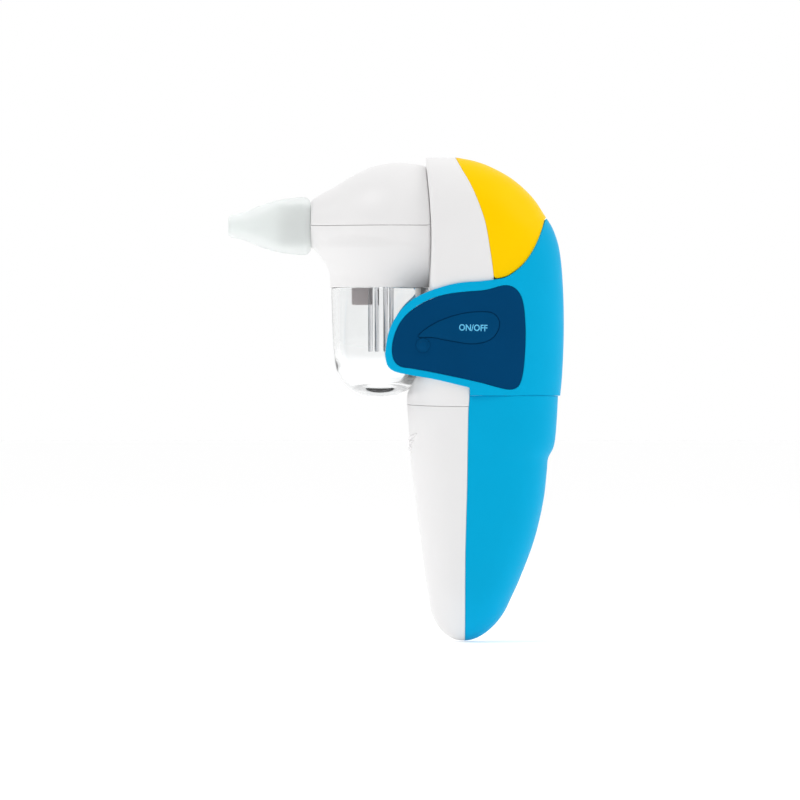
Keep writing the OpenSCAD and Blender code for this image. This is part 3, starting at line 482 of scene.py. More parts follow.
def shell(name, outline, surface, wall, roll, step, material, body, nodes=(), holes=(),
          centre=(0, 0, 0)):
    verts, faces = fill(outline, holes, step)
    bm = open_sheet(surface(verts[:, 0], verts[:, 1]), faces, centre)
    return finish_piece(name, thicken(bm, wall, roll), material, body, nodes)


def lathe(profile, place, along, steps=96, closed=False):
    """bmesh turned round an axis: profile rows are (radius, distance along the axis)."""
    profile = np.asarray(profile, float)
    if not closed and profile[0][1] > profile[-1][1]:
        profile = profile[::-1]
    bm = bmesh.new()
    rings = []
    for r, h in profile:
        if r < 1e-6:
            rings.append([bm.verts.new(turned(0, 0, h, place, along))])
            continue
        ring = []
        for k in range(steps):
            a = 2 * math.pi * k / steps
            ring.append(bm.verts.new(turned(r * math.cos(a), r * math.sin(a), h, place, along)))
        rings.append(ring)
    pairs = list(zip(rings, rings[1:]))
    if closed:
        pairs.append((rings[-1], rings[0]))
    for a, b in pairs:
        for k in range(steps):
            n = (k + 1) % steps
            if len(a) == 1:
                bm.faces.new([a[0], b[n], b[k]])
            elif len(b) == 1:
                bm.faces.new([a[k], a[n], b[0]])
            else:
                bm.faces.new([a[k], a[n], b[n], b[k]])
    bmesh.ops.recalc_face_normals(bm, faces=bm.faces)
    return bm


def turned(p, q, h, place, along):
    """A lathe point: along X, Y or Z through place."""
    if along == "x":
        return (place[0] + h, place[1] + p, place[2] + q)
    if along == "y":
        return (place[0] + p, place[1] + h, place[2] + q)
    return (place[0] + p, place[1] + q, place[2] + h)


def joined(first, *others):
    """One bmesh from several."""
    for other in others:
        mesh = bpy.data.meshes.new("part")
        other.to_mesh(mesh)
        other.free()
        first.from_mesh(mesh)
        bpy.data.meshes.remove(mesh)
    return first


def rod(start, end, radius, steps=20):
    """A round bar with rounded ends, as a bmesh."""
    start, end = Vector(start), Vector(end)
    run = end - start
    length = run.length
    tip = min(radius * 0.7, length / 3)
    profile = [(0, 0)]
    for k in range(1, 5):
        a = HALF_PI * k / 4
        profile.append((radius - tip + tip * math.sin(a), tip * (1 - math.cos(a))))
    profile += [(r, length - h) for r, h in profile[::-1]]
    bm = lathe(profile, (0, 0, 0), "z", steps)
    turn = run.to_track_quat("Z", "Y").to_matrix().to_4x4()
    turn.translation = start
    bmesh.ops.transform(bm, matrix=turn, verts=bm.verts)
    return bm


# ---- Materials --------------------------------------------------------------------------------
def linear(rgb):
    """Display colour (0 to 255) as linear light."""
    c = np.asarray(rgb, float) / 255
    return tuple(np.where(c <= 0.04045, c / 12.92, ((c + 0.055) / 1.055) ** 2.4)) + (1.0,)


BUMP_DEPTH = 0.00006


def set_inputs(node, values):
    for socket, value in values.items():
        node.inputs[socket].default_value = value


def finish_material(name, rgb, rough, *, mottle=0.03, mottle_scale=60, grain=0.04, grain_scale=900,
                    rough_spread=0.06, specular=0.4, metallic=0.0, coat=0.0, transmission=0.0,
                    ior=1.46, brushed=None):
    """Moulded or metal surface: soft mottling of its colour, fine grain in its relief and gloss."""
    material = bpy.data.materials.new(name)
    material.use_nodes = True
    nodes, links = material.node_tree.nodes, material.node_tree.links
    shader = nodes["Principled BSDF"]
    place = nodes.new("ShaderNodeTexCoord")
    mapping = nodes.new("ShaderNodeMapping")
    links.new(place.outputs["Object"], mapping.inputs["Vector"])
    if brushed:
        mapping.inputs["Scale"].default_value = brushed

    def noise(scale, detail):
        made = nodes.new("ShaderNodeTexNoise")
        set_inputs(made, {"Scale": scale, "Detail": detail})
        links.new(mapping.outputs["Vector"], made.inputs["Vector"])
        return made.outputs["Fac"]

    base = np.array(linear(rgb))
    ramp = nodes.new("ShaderNodeValToRGB")
    ramp.color_ramp.elements[0].position = 0.3
    ramp.color_ramp.elements[1].position = 0.7
    ramp.color_ramp.elements[0].color = tuple(np.clip(base * (1 - mottle), 0, 1)[:3]) + (1,)
    ramp.color_ramp.elements[1].color = tuple(np.clip(base * (1 + mottle), 0, 1)[:3]) + (1,)
    links.new(noise(mottle_scale, 3), ramp.inputs["Fac"])
    links.new(ramp.outputs["Color"], shader.inputs["Base Color"])
    fine = noise(grain_scale, 2)
    spread = nodes.new("ShaderNodeMapRange")
    set_inputs(spread, {"To Min": max(rough - rough_spread, 0.01),
                        "To Max": min(rough + rough_spread, 1)})
    links.new(noise(mottle_scale * 2.7, 3), spread.inputs["Value"])
    links.new(spread.outputs["Result"], shader.inputs["Roughness"])
    bump = nodes.new("ShaderNodeBump")
    set_inputs(bump, {"Strength": grain, "Distance": BUMP_DEPTH})
    links.new(fine, bump.inputs["Height"])
    links.new(bump.outputs["Normal"], shader.inputs["Normal"])
    set_inputs(shader, {"Metallic": metallic, "Specular IOR Level": specular, "IOR": ior,
                        "Coat Weight": coat, "Coat Roughness": 0.12,
                        "Transmission Weight": transmission})
    return material


white = finish_material("white_moulding", (234, 233, 233), 0.34, mottle=0.006, grain=0.12,
                        rough_spread=0.03, specular=0.25)
white_head = finish_material("white_head_moulding", (234, 233, 233), 0.3, mottle=0.005, grain=0.08,
                             rough_spread=0.02, specular=0.25)
yellow = finish_material("yellow_moulding", (255, 206, 0), 0.4, mottle=0.012, grain=0.12, specular=0.04)
blue = finish_material("blue_moulding", (0, 169, 217), 0.45, mottle=0.015, grain=0.18, specular=0.05)
dark = finish_material("dark_soft_panel", (0, 63, 107), 0.6, mottle=0.04, grain=0.35, grain_scale=1600,
                       specular=0.03)
dark_key = finish_material("dark_soft_key", (0, 66, 110), 0.56, mottle=0.04, grain=0.35,
                           grain_scale=1600, specular=0.03)
print_blue = finish_material("key_print", (96, 190, 232), 0.6, mottle=0.06, grain=0.2, specular=0.2)
clear = finish_material("clear_cup_plastic", (252, 253, 253), 0.03, mottle=0.002, grain=0.02,
                        rough_spread=0.015, specular=0.5, transmission=1.0, ior=1.46)
tint = clear.node_tree.nodes.new("ShaderNodeVolumeAbsorption")
set_inputs(tint, {"Color": (0.08, 0.08, 0.1, 1), "Density": 11.0})
clear.node_tree.links.new(tint.outputs["Volume"],
                          clear.node_tree.nodes["Material Output"].inputs["Volume"])
clear_rod = finish_material("clear_rod_plastic", (250, 250, 252), 0.08, mottle=0.01, grain=0.04,
                            rough_spread=0.03, specular=0.5, transmission=0.9, ior=1.46)
grey = finish_material("grey_tube_plastic", (222, 211, 212), 0.45, mottle=0.03, grain=0.2)
silicone = finish_material("silicone", (248, 251, 250), 0.3, mottle=0.004, grain=0.12,
                           rough_spread=0.05, specular=0.3, transmission=0.62, ior=1.06)
seal = finish_material("seal_rubber", (214, 216, 216), 0.6, mottle=0.03, grain=0.4, specular=0.3)
black_rubber = finish_material("black_rubber", (34, 34, 36), 0.7, mottle=0.12, grain=0.5, specular=0.3)
inner_white = finish_material("inner_plastic", (226, 226, 220), 0.5, mottle=0.03, grain=0.3)
dark_plastic = finish_material("dark_plastic", (44, 45, 48), 0.5, mottle=0.1, grain=0.4)
board = finish_material("board_laminate", (24, 96, 54), 0.42, mottle=0.18, mottle_scale=420, grain=0.3,
                        grain_scale=2400, coat=0.4)
chip = finish_material("chip_epoxy", (28, 28, 30), 0.55, mottle=0.15, grain=0.5, grain_scale=3200)
cell_jacket = finish_material("cell_jacket", (58, 62, 70), 0.28, mottle=0.06, grain=0.1, coat=0.6)
steel = finish_material("bright_steel", (206, 207, 212), 0.26, mottle=0.05, grain=0.15,
                        brushed=(1, 1, 0.08), metallic=1.0)
motor_steel = finish_material("motor_can_steel", (186, 187, 192), 0.34, mottle=0.07, grain=0.2,
                              brushed=(1, 1, 0.05), metallic=1.0)
magnet = finish_material("ferrite", (66, 64, 68), 0.7, mottle=0.2, grain=0.6)
bronze = finish_material("sintered_bronze", (178, 132, 62), 0.5, mottle=0.15, grain=0.5,
                         grain_scale=2600, metallic=1.0)
copper = finish_material("armature_copper", (170, 92, 46), 0.4, mottle=0.2, grain=0.5,
                         brushed=(1, 1, 0.1), metallic=0.9)
red_lead = finish_material("red_lead_jacket", (188, 28, 26), 0.42, mottle=0.05, grain=0.2)
black_lead = finish_material("black_lead_jacket", (26, 26, 28), 0.42, mottle=0.1, grain=0.2)

CARRIED = {
    "key_plunger": dark_plastic, "power_switch": steel, "circuit_board": board, "board_chips": chip,
    "battery_carrier": inner_white, "battery_left": cell_jacket, "battery_right": cell_jacket,
    "battery_springs": steel, "battery_contacts": steel, "battery_leads": red_lead,
    "motor_leads": black_lead, "motor_can": motor_steel, "motor_end_cap": dark_plastic,
    "motor_magnets": magnet, "motor_bushes": bronze, "motor_rotor": copper, "motor_shaft": steel,
    "eccentric": inner_white, "crank_pin": steel, "wobble_plate": inner_white,
    "plate_stems": black_rubber, "crank_case": inner_white, "diaphragm": black_rubber,
    "chamber_block": inner_white, "valve_discs": black_rubber, "pump_cover": inner_white,
    "pump_screws": steel, "pump_cradle": dark_plastic, "suction_hose": seal,
    "vacuum_port": inner_white, "port_seal": black_rubber,
}
for node, material in CARRIED.items():
    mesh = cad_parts[node].data
    mesh.materials.clear()
    mesh.materials.append(material)

# ---- Casing -----------------------------------------------------------------------------------
SEAM = 0.03  # half the gap between two shells
EDGE = 0.2  # radius of a shell's rolled rim
FINE_EDGE = EDGE - 0.04
STEP = 1.25  # spacing of a shell's points
FINE_STEP = STEP * 0.8
SEAM_RISE = 0.9
CROWN_LIFT = 0.35
BACK_RISE = (0.45, 0.55)
PANEL_SLACK = 0.06
# Opening of the white casing round the key's flange, in the side view. Its front end reaches
# into the hollow for the cup.
KEY_OPENING = [[0.8, 17.0], [-5, 17.8], [-11.4, 19], [-17.4, 19.5], [-18, 21.6], [-11.2, 27.2],
               [-1.5, 30.3], [0.8, 30.5]]


def white_place(points):
    u = ROUND * (math.pi - body_angle(points[:, 0], points[:, 1]))
    return np.column_stack([u, way_up(points[:, 1])])


def crown_place(points):
    u = ROUND * body_angle(points[:, 0], points[:, 1])
    return np.column_stack([u, way_up(points[:, 1])])


def rising(run):
    """A seam line lifted towards the middle of the front."""
    rest = 1 - run[:, 0] / run[-1, 0]
    lifted = run.copy()
    lifted[:, 1] += SEAM_RISE * rest ** 1.5
    return lifted


side_z = np.linspace(FRONT_SEAM + SEAM, 36, 32)
white_side = np.column_stack([curve(BORDER_X, side_z) - SEAM, side_z])
white_turn = spline([white_side[-1], [3, 38.4], [8.1, 39.3], [9.2 - SEAM, 40.3]], 6)[1:-1]
to_white = crown_border[::-1] - np.array([SEAM, 0])
white_right = white_place(np.vstack([white_side, white_turn, to_white]))
white_right[-1, 1] = CREST
crest_run = resample([white_right[-1], [0, CREST]], STEP)[1:]
seam_run = rising(resample([[0, FRONT_SEAM + SEAM], white_right[0]], STEP)[:-1])
plain_half = np.vstack([seam_run, white_right, crest_run])
# On the key's side the border makes way round the key.
low_end, high_end = np.searchsorted(white_side[:, 1], [KEY_OPENING[0][1], KEY_OPENING[-1][1]])
opened_right = np.vstack([white_right[:low_end], white_place(resample(KEY_OPENING, STEP)),
                          white_right[high_end:]])
key_half = np.vstack([seam_run, opened_right, crest_run]) * np.array([-1, 1])
casing_outline = np.vstack([plain_half, key_half[::-1][1:-1]])
shell("casing_front", casing_outline, white_surface, WALL, EDGE, STEP, white, "housing",
      ["front_housing"], centre=(0, 0, 30))

crown_top = crown_place(crown_border + np.array([SEAM, 0]))
crown_top[0, 1] = CREST
crown_low = blue_place(back_border)
crown_low = np.vstack([crown_low, [crown_low[-1, 0] * 0.5, crown_low[-1, 1] + BACK_RISE[0]],
                       [0, crown_low[-1, 1] + BACK_RISE[1]]])
crown_foot = crown_low[::-1] + np.array([0, CROWN_LIFT])
crown_right = np.vstack([resample(np.vstack([crown_foot, crown_top[::-1][1:]]), STEP),
                         [0, CREST]])
crown_right[-2, 1] = CREST
shell("casing_crown", both_sides(crown_right), crown_surface, WALL, EDGE, STEP, yellow, "housing",
      ["crown_cover"], centre=(5, 0, 60))

low_z = np.linspace(BACK_SEAM + SEAM, 3.3, 5)
blue_side = np.column_stack([curve(BORDER_X, low_z) + SEAM, low_z])
blue_side = np.vstack([blue_side, [[0.9, 3.65], [0.2, 3.85]], wing_edge])
blue_right = blue_place(np.vstack([blue_side, back_border[1:]]))
blue_right = np.vstack([blue_right, crown_low[-2:]])
blue_right = resample(blue_right, FINE_STEP)
blue_seam = resample([[0, BACK_SEAM + SEAM], blue_right[0]], STEP)[:-1]
panel_hole = blue_place(resample(side_offset(panel_outline, PANEL_SLACK), FINE_STEP, closed=True))
shell("casing_rear", both_sides(np.vstack([blue_seam, blue_right])), blue_surface, WALL, FINE_EDGE,
      STEP, blue, "housing", ["rear_housing"],
      holes=[panel_hole, panel_hole * np.array([-1, 1])], centre=(5, 0, 30))

# ---- Panels, studs and key --------------------------------------------------------------------
PANEL_RISE, PANEL_T, PANEL_ROLL = 0.12, 0.45, 0.2
KEY_RISE, KEY_T, KEY_ROLL = 0.1, 1.2, 0.2
KEY_CROWN, KEY_SHOULDER = 0.32, 1.6
FLANGE_OUT, FLANGE_DOWN, FLANGE_T, FLANGE_ROLL = 0.9, 0.6, 0.4, 0.1
KEY_INSIDE = (0, -10, 24)
STUD_SUNK, STUD_LAP = 1.4, 0.06


def side_sheet(side, rise):
    def surface(u, v):
        return np.column_stack([u, side * (wing_y(u, v) + rise), v])
    return surface


def circle(place, radius, steps=40):
    a = np.linspace(0, 2 * math.pi, steps, endpoint=False)
    return np.column_stack([place[0] + radius * np.cos(a), place[1] + radius * np.sin(a)])


panel_flat = resample(panel_outline, 1.0, closed=True)
key_flat = resample(key_outline, 0.7, closed=True)
stud_gap = circle(STUD_PLACE, STUD_R - STUD_LAP)
for side, name, holes in ((-1, "key_panel", [side_offset(key_flat, KEY_GAP), stud_gap]),
                          (1, "grip_panel", [stud_gap])):
    shell(name + "_soft", panel_flat, side_sheet(side, PANEL_RISE), PANEL_T, PANEL_ROLL, 1.1, dark,
          "housing", [name], holes=holes, centre=(0, side * 10, 20))

key_raise = side_sheet(-1, KEY_RISE)
verts, faces = fill(key_flat, [], 0.7)
rim_in = np.clip(clearance(verts, key_flat) / KEY_SHOULDER, 0, 1)
key_points = key_raise(verts[:, 0], verts[:, 1])
key_points[:, 1] -= KEY_CROWN * (rim_in * rim_in * (3 - 2 * rim_in))
key_mesh = thicken(open_sheet(key_points, faces, KEY_INSIDE), KEY_T, KEY_ROLL)
# A hidden flange under the key's edge closes the view through its gap.
flange_verts, flange_faces = fill(side_offset(key_flat, FLANGE_OUT), [], 1.1)
flange_points = side_sheet(-1, -FLANGE_DOWN)(flange_verts[:, 0], flange_verts[:, 1])
flange = thicken(open_sheet(flange_points, flange_faces, KEY_INSIDE), FLANGE_T, FLANGE_ROLL)
key_mesh = joined(key_mesh, flange)
finish_piece("power_key_pad", key_mesh, dark_key, "power_key", ["power_key"])

for side, name in ((-1, "key_side"), (1, "grip_side")):
    base = side * (float(wing_y(np.array(STUD_PLACE[0]), np.array(STUD_PLACE[1]))) - STUD_SUNK)
    rise = [(0, 0), (STUD_R, 0), (STUD_R, 1.55), (STUD_R - 0.2, 1.8), (1.75, 1.85), (1.45, 2.15),
            (0.9, 2.5), (0.4, 2.6), (0, 2.6)]
    dome = filleted(rise, 0.25, 3) * np.array([1, side])
    bm = lathe(dome, (STUD_PLACE[0], base, STUD_PLACE[1]), "y", 48)
    finish_piece("stud_" + name, bm, dark_key, "housing",
                 ["panel_studs"] if side < 0 else [])

# ---- Battery sleeve -----------------------------------------------------------------------------
FOOT_END = DEPTH_CAP_Z - FOOT_WAY
front_v = resample([[0, FRONT_SEAM - SEAM], [0, FOOT_END]], STEP)[:, 1]
split = grip_border_angle(front_v, -SEAM)
closing = next(i for i, a in enumerate(split) if a < 0.02)
front_u = ROUND * (math.pi - split)
front_u[closing:] = ROUND * math.pi
front_side = np.column_stack([front_u, front_v])
foot_run = resample([front_side[-1], [0, FOOT_END]], STEP)[1:]
top_run = rising(resample([[0, FRONT_SEAM - SEAM], front_side[0]], STEP)[:-1])
shell("sleeve_front_shell", both_sides(np.vstack([top_run, front_side, foot_run])),
      grip_front_surface, WALL, EDGE, STEP, white, "battery_sleeve",
      ["sleeve_front"], centre=(0, 0, -40))

rear_v = resample([[0, BACK_SEAM - SEAM], [0, front_v[closing]]], STEP)[:, 1]
rear_u = ROUND * grip_border_angle(rear_v, SEAM)
rear_side = np.column_stack([np.maximum(rear_u, 0.0), rear_v])
rear_side[-1, 0] = 0
rear_top = resample([[0, BACK_SEAM - SEAM], rear_side[0]], STEP)[:-1]
shell("sleeve_rear_shell", both_sides(np.vstack([rear_top, rear_side])), grip_rear_surface, WALL,
      FINE_EDGE, STEP, blue, "battery_sleeve", ["sleeve_rear"], centre=(0, 0, -40))


def ridge(line, radius, squash):
    """A low rounded bar along points of the sleeve's front, as a bmesh."""
    bm = bmesh.new()
    rings = []
    line = [Vector(p) for p in line]
    for i, p in enumerate(line):
        run = (line[min(i + 1, len(line) - 1)] - line[max(i - 1, 0)]).normalized()
        out = Vector((-1, 0, 0))
        across = run.cross(out).normalized()
        out = across.cross(run).normalized()
        taper = min(1.0, 0.35 + 1.3 * min(i, len(line) - 1 - i) / (len(line) / 2))
        ring = []
        for k in range(12):
            a = 2 * math.pi * k / 12
            ring.append(bm.verts.new(p + (across * math.cos(a) + out * math.sin(a) * squash)
                                     * radius * taper))
        rings.append(ring)
    for a, b in zip(rings, rings[1:]):
        for k in range(12):
            n = (k + 1) % 12
            bm.faces.new([a[k], a[n], b[n], b[k]])
    bm.faces.new(rings[0])
    bm.faces.new(rings[-1])
    bmesh.ops.recalc_face_normals(bm, faces=bm.faces)
    return bm


MARK_WIDE, MARK_NARROWING = 10.5, 2.4
MARK_Z, MARK_PITCH, MARK_CLIMB = -14.6, 1.6, 2.6
MARK_R, MARK_PROUD = 0.55, 1.25
marks = []
for k in range(3):
    width = MARK_WIDE - MARK_NARROWING * k
    for s in (-1, 1):
        t = np.linspace(0, 1, 14)
        y = s * width * t
        z = MARK_Z - MARK_PITCH * k + MARK_CLIMB * (width / MARK_WIDE) * t
        mid, half, w = grip_section(z)
        x = mid - half * (1 - np.abs(y / w) ** GRIP_ROUNDNESS) ** (1 / GRIP_ROUNDNESS)
        marks.append(ridge(np.column_stack([x, y, z]), MARK_R, MARK_PROUD))
finish_piece("pull_marks", joined(*marks), white, "battery_sleeve")

# ---- Suction head -----------------------------------------------------------------------------
HEAD_EDGE = 0.22
CHIN_WALL = 1.75
HEAD_BEND_X = -34  # where the head starts to follow the body's face
HEAD_SEAM = 0.06


def head_rear(z):
    return FACE_X - HEAD_GAP + face_bulge(z)


def pushed_back(points):
    """Moves the head's rear to follow the body's face."""
    x, z = points[:, 0], points[:, 2]
    near = np.clip((x - HEAD_BEND_X) / (BACK_X - HEAD_BEND_X), 0, 1) ** 2
    points[:, 0] = x + near * (head_rear(z) - BACK_X)
    return points


BACK_X = FACE_X - HEAD_GAP
line_x = np.concatenate([np.linspace(NECK_X, -46, 9), np.linspace(-45, BACK_X - 0.7, 34)])
outer = [(r, x) for r, x in zip(curve(HEAD_PROFILE, line_x), line_x)]
rim_r = float(curve(HEAD_PROFILE, BACK_X))
profile = np.array([(6.3, NECK_X), (7.4, NECK_X), (8.1, NECK_X + 0.02), (8.5, NECK_X + 0.15)]
                   + outer[1:]
                   + [(rim_r - 0.2, BACK_X - 0.2), (rim_r - 0.8, BACK_X), (17, BACK_X), (13, BACK_X),
                      (9, BACK_X)])
angles = np.linspace(0, math.pi, 73)
points = []
for a in angles:
    points.append(np.column_stack([profile[:, 1], profile[:, 0] * math.cos(a),
                                   AXIS_Z + HEAD_SEAM + profile[:, 0] * math.sin(a)]))
rows, columns = len(profile), len(angles)
grid = pushed_back(np.vstack(points))
faces = [(j * rows + i, j * rows + i + 1, (j + 1) * rows + i + 1, (j + 1) * rows + i)
         for j in range(columns - 1) for i in range(rows - 1)]
upper = thicken(open_sheet(grid, faces, (-28, 0, AXIS_Z + 5)), HEAD_WALL, HEAD_EDGE)
finish_piece("head_upper", upper, white_head, "suction_head", ["head_upper_shell"])

# Lower shell: the horn's underside blends into the skirt, solved along rays from the cup's axis.
BLEND = 9.0


def horn_reach(angle, depth):
    """How far the horn's section at this depth under the head's axis goes from the cup's axis."""
    low, high = np.zeros(angle.shape), np.full(angle.shape, 28.5)
    for _ in range(40):
        t = (low + high) / 2
        x = CUP_X + t * np.cos(angle)
        chin = curve(CHIN_PROFILE, x)
        y = curve(HEAD_PROFILE, x) * np.sqrt(np.maximum(1 - (depth / chin) ** 2, 0))
        within = (np.abs(t * np.sin(angle)) <= y) & (depth < chin)
        low, high = np.where(within, t, low), np.where(within, high, t)
    return low


def chin_reach(angle, depth):
    horn, drum = horn_reach(angle, depth), SKIRT_R
    soft = BLEND * np.clip(depth / 7, 0, 1) ** 1.5 + 1e-3
    mix = np.maximum(soft - np.abs(horn - drum), 0) / soft
    return np.where(depth < 2.5, horn, np.maximum(horn, drum)) + mix ** 2 * soft / 4


def chin_rows():
    levels = np.concatenate([np.linspace(SKIRT_Z, 40, 4), np.linspace(41, 57.5, 26),
                             [58.1, AXIS_Z - HEAD_SEAM]])
    made = []
    for z in levels:
        depth = AXIS_Z - z
        rear = float(head_rear(z)) - CUP_X
        a = np.linspace(0.2, 1.4, 400)
        over = chin_reach(a, np.full(a.shape, depth)) * np.cos(a) - rear
        corner = a[np.argmax(over < 0)] if (over > 0).any() else 0.4
        angle = np.concatenate([np.linspace(0, corner, 13)[:-1], np.linspace(corner, math.pi, 73)])
        angle = np.concatenate([angle, 2 * math.pi - angle[::-1][1:-1]])
        reach = chin_reach(angle, np.full(angle.shape, depth))
        flat = np.where(np.cos(angle) > 0.05, rear / np.maximum(np.cos(angle), 0.05), 99)
        reach = np.minimum(reach, flat)
        x, y = CUP_X + reach * np.cos(angle), reach * np.sin(angle)
        made.append(np.column_stack([x, y, np.full(x.shape, z)]))
    return made


rows = chin_rows()
columns = len(rows[0])
faces = [(j * columns + i, j * columns + (i + 1) % columns, (j + 1) * columns + (i + 1) % columns,
          (j + 1) * columns + i) for j in range(len(rows) - 1) for i in range(columns)]
chin = open_sheet(np.vstack(rows), faces, (CUP_X, 0, 48))
bmesh.ops.bisect_plane(chin, geom=chin.verts[:] + chin.edges[:] + chin.faces[:],
                       plane_co=(NECK_X, 0, 0), plane_no=(1, 0, 0), dist=1e-4)
for v in chin.verts:
    if v.co.x < NECK_X:
        v.co.y *= (NECK_X - CUP_X) / (v.co.x - CUP_X)
        v.co.x = NECK_X
bmesh.ops.dissolve_degenerate(chin, dist=1e-3, edges=chin.edges)
chin.normal_update()
chin = thicken(chin, CHIN_WALL, HEAD_EDGE)
floor_disc = lathe(filleted([(1.9, 44.7), (15.4, 44.7), (15.4, 46.2), (1.9, 46.2), (1.9, 44.7)], 0.3, 2)
                   [:-1], (CUP_X, 0, 0), "z", 96, closed=True)
finish_piece("head_lower", joined(chin, floor_disc), white_head, "suction_head",
             ["head_lower_shell"])

stub_line = [(4.2, -64), (5.7, -64), (6.2, -63.4), (7.05, -62.9), (7.05, -61.3), (6.2, -60.9),
             (6.2, -59.9), (7.05, -59.7), (7.05, -58.5), (6.2, -58.3), (6.2, -57.6), (7.05, -57.4),
             (7.05, -56.6), (6.2, -56.4), (6.2, -47.5), (4.2, -47.5)]
stub = lathe(filleted(stub_line + stub_line[:1], 0.12, 2)[:-1], (0, 0, AXIS_Z), "x", 96, closed=True)
finish_piece("nozzle_stub_ringed", stub, white_head, "suction_head", ["nozzle_stub"])


def square_tube(x, half, hollow, z0, z1):
    """An upright square tube with rounded corners, as a bmesh."""
    n = 44
    turn = np.linspace(0, 2 * math.pi, n, endpoint=False)

    def squircle(h):
        c, s = superellipse(turn, 14)
        return np.column_stack([h * c, h * s])
    bm = bmesh.new()
    loops = []
    for h, z in ((hollow, z0 + 0.15), (hollow + 0.15, z0), (half - 0.2, z0), (half, z0 + 0.2),
                 (half, z1), (hollow, z1)):
        loops.append([bm.verts.new((x + p[0], p[1], z)) for p in squircle(h)])
    for a, b in zip(loops, loops[1:] + loops[:1]):
        for k in range(n):
            m = (k + 1) % n
            bm.faces.new([a[k], a[m], b[m], b[k]])
    bmesh.ops.recalc_face_normals(bm, faces=bm.faces)
    return bm


finish_piece("inlet_square_tube", square_tube(-35.5, 3.4, 2.5, 32.1, 47.1), grey, "suction_head",
             ["inlet_tube"], sharp=50)

CAGE_X = CUP_X + 0.4
ROD_RING, ROD_R = 3.8, 0.75
ROD_SPAN = (15.8, 44.2)
places = [(ROD_RING * math.cos(math.radians(a)), ROD_RING * math.sin(math.radians(a)))
          for a in (22.5, 67.5, 112.5, -22.5, -67.5, -112.5)]
places += [(-3.6, 4.3), (-3.6, -4.3)]
rods = [rod((CAGE_X + x, y, ROD_SPAN[0]), (CAGE_X + x, y, ROD_SPAN[1]), ROD_R) for x, y in places]
plate = lathe(filleted([(1.9, 43.4), (4.9, 43.4), (4.9, 44.58), (1.9, 44.58), (1.9, 43.4)], 0.2, 2)[:-1],
              (CAGE_X + 0.4, 0, 0), "z", 64, closed=True)
finish_piece("suction_rods", joined(plate, *rods), clear_rod, "suction_head",
             ["suction_cage"])

# ---- Cup --------------------------------------------------------------------------------------
outer_line = np.vstack([[[0, 0.5], [3.6, 0.5]], spline(CUP_OUTER[1:], 6)[1:],
                        [[16.6, 37.3], [16.5, 37.5], [16.3, 37.58], [14.9, 37.6], [14.8, 37.7],
                         [14.8, 43.4], [14.6, 43.8], [14.1, 43.8], [13.9, 43.4], [13.9, 36]]])
inner_line = spline(CUP_INNER, 6)
cup = lathe(np.vstack([outer_line, inner_line]), (CUP_X, 0, 0), "z", 128)
finish_piece("cup_clear", cup, clear, "cup", ["collection_cup"])
ring = lathe(filleted([(14.82, 39.8), (15.19, 40.2), (15.19, 41.0), (14.82, 41.4), (14.82, 39.8)],
                      0.1, 2)[:-1], (CUP_X, 0, 0), "z", 96, closed=True)
finish_piece("cup_seal_ring", ring, seal, "cup", ["cup_seal"])

# ---- Nose tip ---------------------------------------------------------------------------------
tip_x = np.concatenate([[TIP_X + 0.1, TIP_X + 0.3], np.linspace(TIP_X + 0.7, -53.4, 50)])
tip_outer = [(float(r), float(x)) for r, x in zip(curve(TIP_PROFILE, tip_x), tip_x)]
tip_line = ([(2.0, TIP_X + 0.35), (2.2, TIP_X + 0.1), (2.55, TIP_X)] + tip_outer
            + [(8.3, -53.02), (7.3, -53), (7.1, -53.2), (7.1, -64.2), (6.8, -64.8), (4.6, -67.6),
               (2.3, -73.2), (2.0, -73.9)])
tip = lathe(tip_line, (0, 0, AXIS_Z), "x", 128, closed=True)
finish_piece("nose_tip_silicone", tip, silicone, "tip", ["nose_tip"])

# ---- Label on the key ---------------------------------------------------------------------------
letters = bpy.data.curves.new("on_off", "FONT")
letters.body = "ON/OFF"
letters.size = 1
letters.resolution_u = 3
letters.offset = 0.022
text = bpy.data.objects.new("on_off", letters)
bpy.context.scene.collection.objects.link(text)
bpy.context.view_layer.update()
flat = bpy.data.meshes.new_from_object(text.evaluated_get(bpy.context.evaluated_depsgraph_get()))
bpy.data.objects.remove(text)
bm = bmesh.new()
bm.from_mesh(flat)
bmesh.ops.subdivide_edges(bm, edges=bm.edges, cuts=1)
co = np.array([v.co[:] for v in bm.verts])
low, high = co.min(0), co.max(0)
PRINT_WIDE, PRINT_TALL, PRINT_TILT = 9.6, 2.25, math.radians(-1.5)
PRINT_PLACE = (2.1, 23.9)
PRINT_PROUD, PRINT_T = 0.02, 0.12
p = (co[:, 0] - (low[0] + high[0]) / 2) * PRINT_WIDE / (high[0] - low[0])
q = (co[:, 1] - (low[1] + high[1]) / 2) * PRINT_TALL / (high[1] - low[1])
px = PRINT_PLACE[0] + p * math.cos(PRINT_TILT) - q * math.sin(PRINT_TILT)
pz = PRINT_PLACE[1] + p * math.sin(PRINT_TILT) + q * math.cos(PRINT_TILT)
py = -(wing_y(px, pz) + KEY_RISE + KEY_CROWN)
for v, x, y, z in zip(bm.verts, px, py, pz):
    v.co = (x, y - PRINT_PROUD, z)
back_faces = bmesh.ops.extrude_face_region(bm, geom=list(bm.faces))
for v in back_faces["geom"]:
    if isinstance(v, bmesh.types.BMVert):
        v.co.y += PRINT_T
bmesh.ops.recalc_face_normals(bm, faces=bm.faces)
finish_piece("on_off_print", bm, print_blue, "power_key")

# ---- Stage, light and camera ------------------------------------------------------------------
world = bpy.data.worlds.new("studio")
world.use_nodes = True
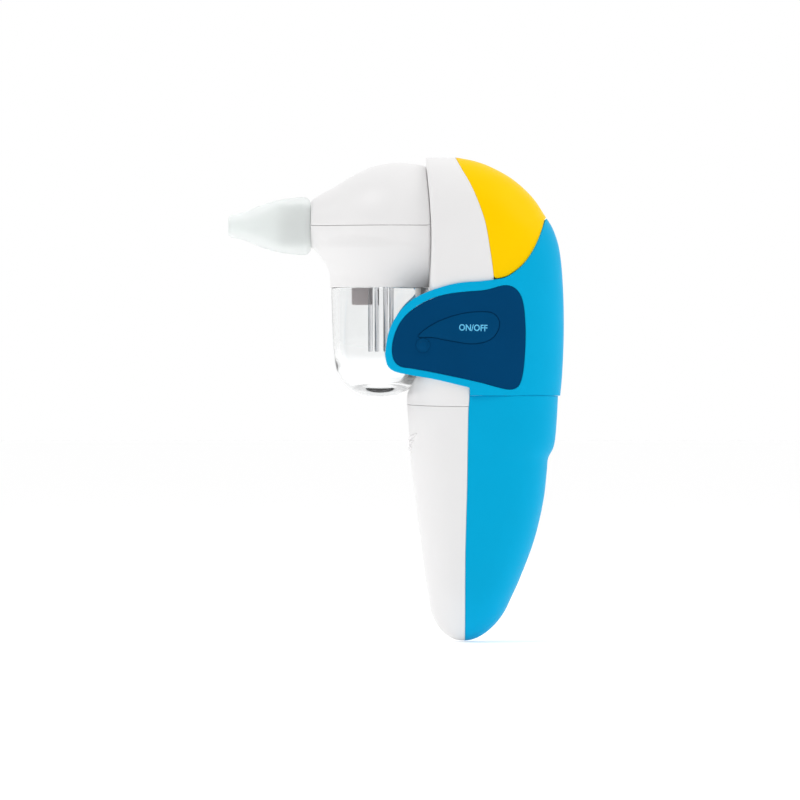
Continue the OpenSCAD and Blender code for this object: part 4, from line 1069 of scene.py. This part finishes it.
# The sky is full white behind the object, where the camera sees it, and weaker in front.
sky = world.node_tree
sky.nodes["Background"].inputs["Color"].default_value = (1, 1, 1, 1)
toward = sky.nodes.new("ShaderNodeTexCoord")
axes = sky.nodes.new("ShaderNodeSeparateXYZ")
fade = sky.nodes.new("ShaderNodeMapRange")
fade.interpolation_type = "SMOOTHSTEP"
set_inputs(fade, {"From Min": -0.6, "From Max": 0.8, "To Min": 0.36, "To Max": 1.0})
tilt = sky.nodes.new("ShaderNodeMapping")
tilt.inputs["Rotation"].default_value = (math.radians(-28), 0, 0)
sky.links.new(toward.outputs["Generated"], tilt.inputs["Vector"])
sky.links.new(tilt.outputs["Vector"], axes.inputs["Vector"])
sky.links.new(axes.outputs["Y"], fade.inputs["Value"])
sky.links.new(fade.outputs["Result"], sky.nodes["Background"].inputs["Strength"])
bpy.context.scene.world = world

FLOOR_Z = FOOT_Z * MM - 0.0004
bpy.ops.mesh.primitive_grid_add(x_subdivisions=8, y_subdivisions=8, size=30,
                                location=(0, 0, FLOOR_Z))
floor = bpy.context.object
floor.name = "studio_floor"
paper = bpy.data.materials.new("floor_paper")
paper.use_nodes = True
set_inputs(paper.node_tree.nodes["Principled BSDF"], {
    "Base Color": (0.9, 0.9, 0.9, 1), "Roughness": 0.9, "Specular IOR Level": 0.1,
    "Emission Color": (1, 1, 1, 1), "Emission Strength": 0.28})
floor.data.materials.append(paper)


def soft_box(name, place, size, power, target=(0, 0, 0.02)):
    data = bpy.data.lights.new(name, "AREA")
    data.shape = "RECTANGLE"
    data.size, data.size_y = size
    data.energy = power
    lamp = bpy.data.objects.new(name, data)
    lamp.location = place
    lamp.rotation_euler = (Vector(target) - Vector(place)).to_track_quat("-Z", "Y").to_euler()
    bpy.context.scene.collection.objects.link(lamp)


soft_box("key_light", (-0.9, -0.7, 1.3), (0.8, 0.8), 8.8)
soft_box("rim_light", (0.9, -0.15, 0.7), (0.6, 0.8), 3.6)

CAMERA_AWAY = 3.0
FIELD = 0.272
SENSOR = 36
camera_data = bpy.data.cameras.new("camera")
camera_data.sensor_width = SENSOR
camera_data.lens = SENSOR * CAMERA_AWAY / FIELD
camera = bpy.data.objects.new("camera", camera_data)
camera.location = (-0.0226, -CAMERA_AWAY, -0.0005)
camera.rotation_euler = (HALF_PI, 0, 0)
bpy.context.scene.collection.objects.link(camera)
bpy.context.scene.camera = camera
bpy.context.scene.view_settings.view_transform = "Standard"
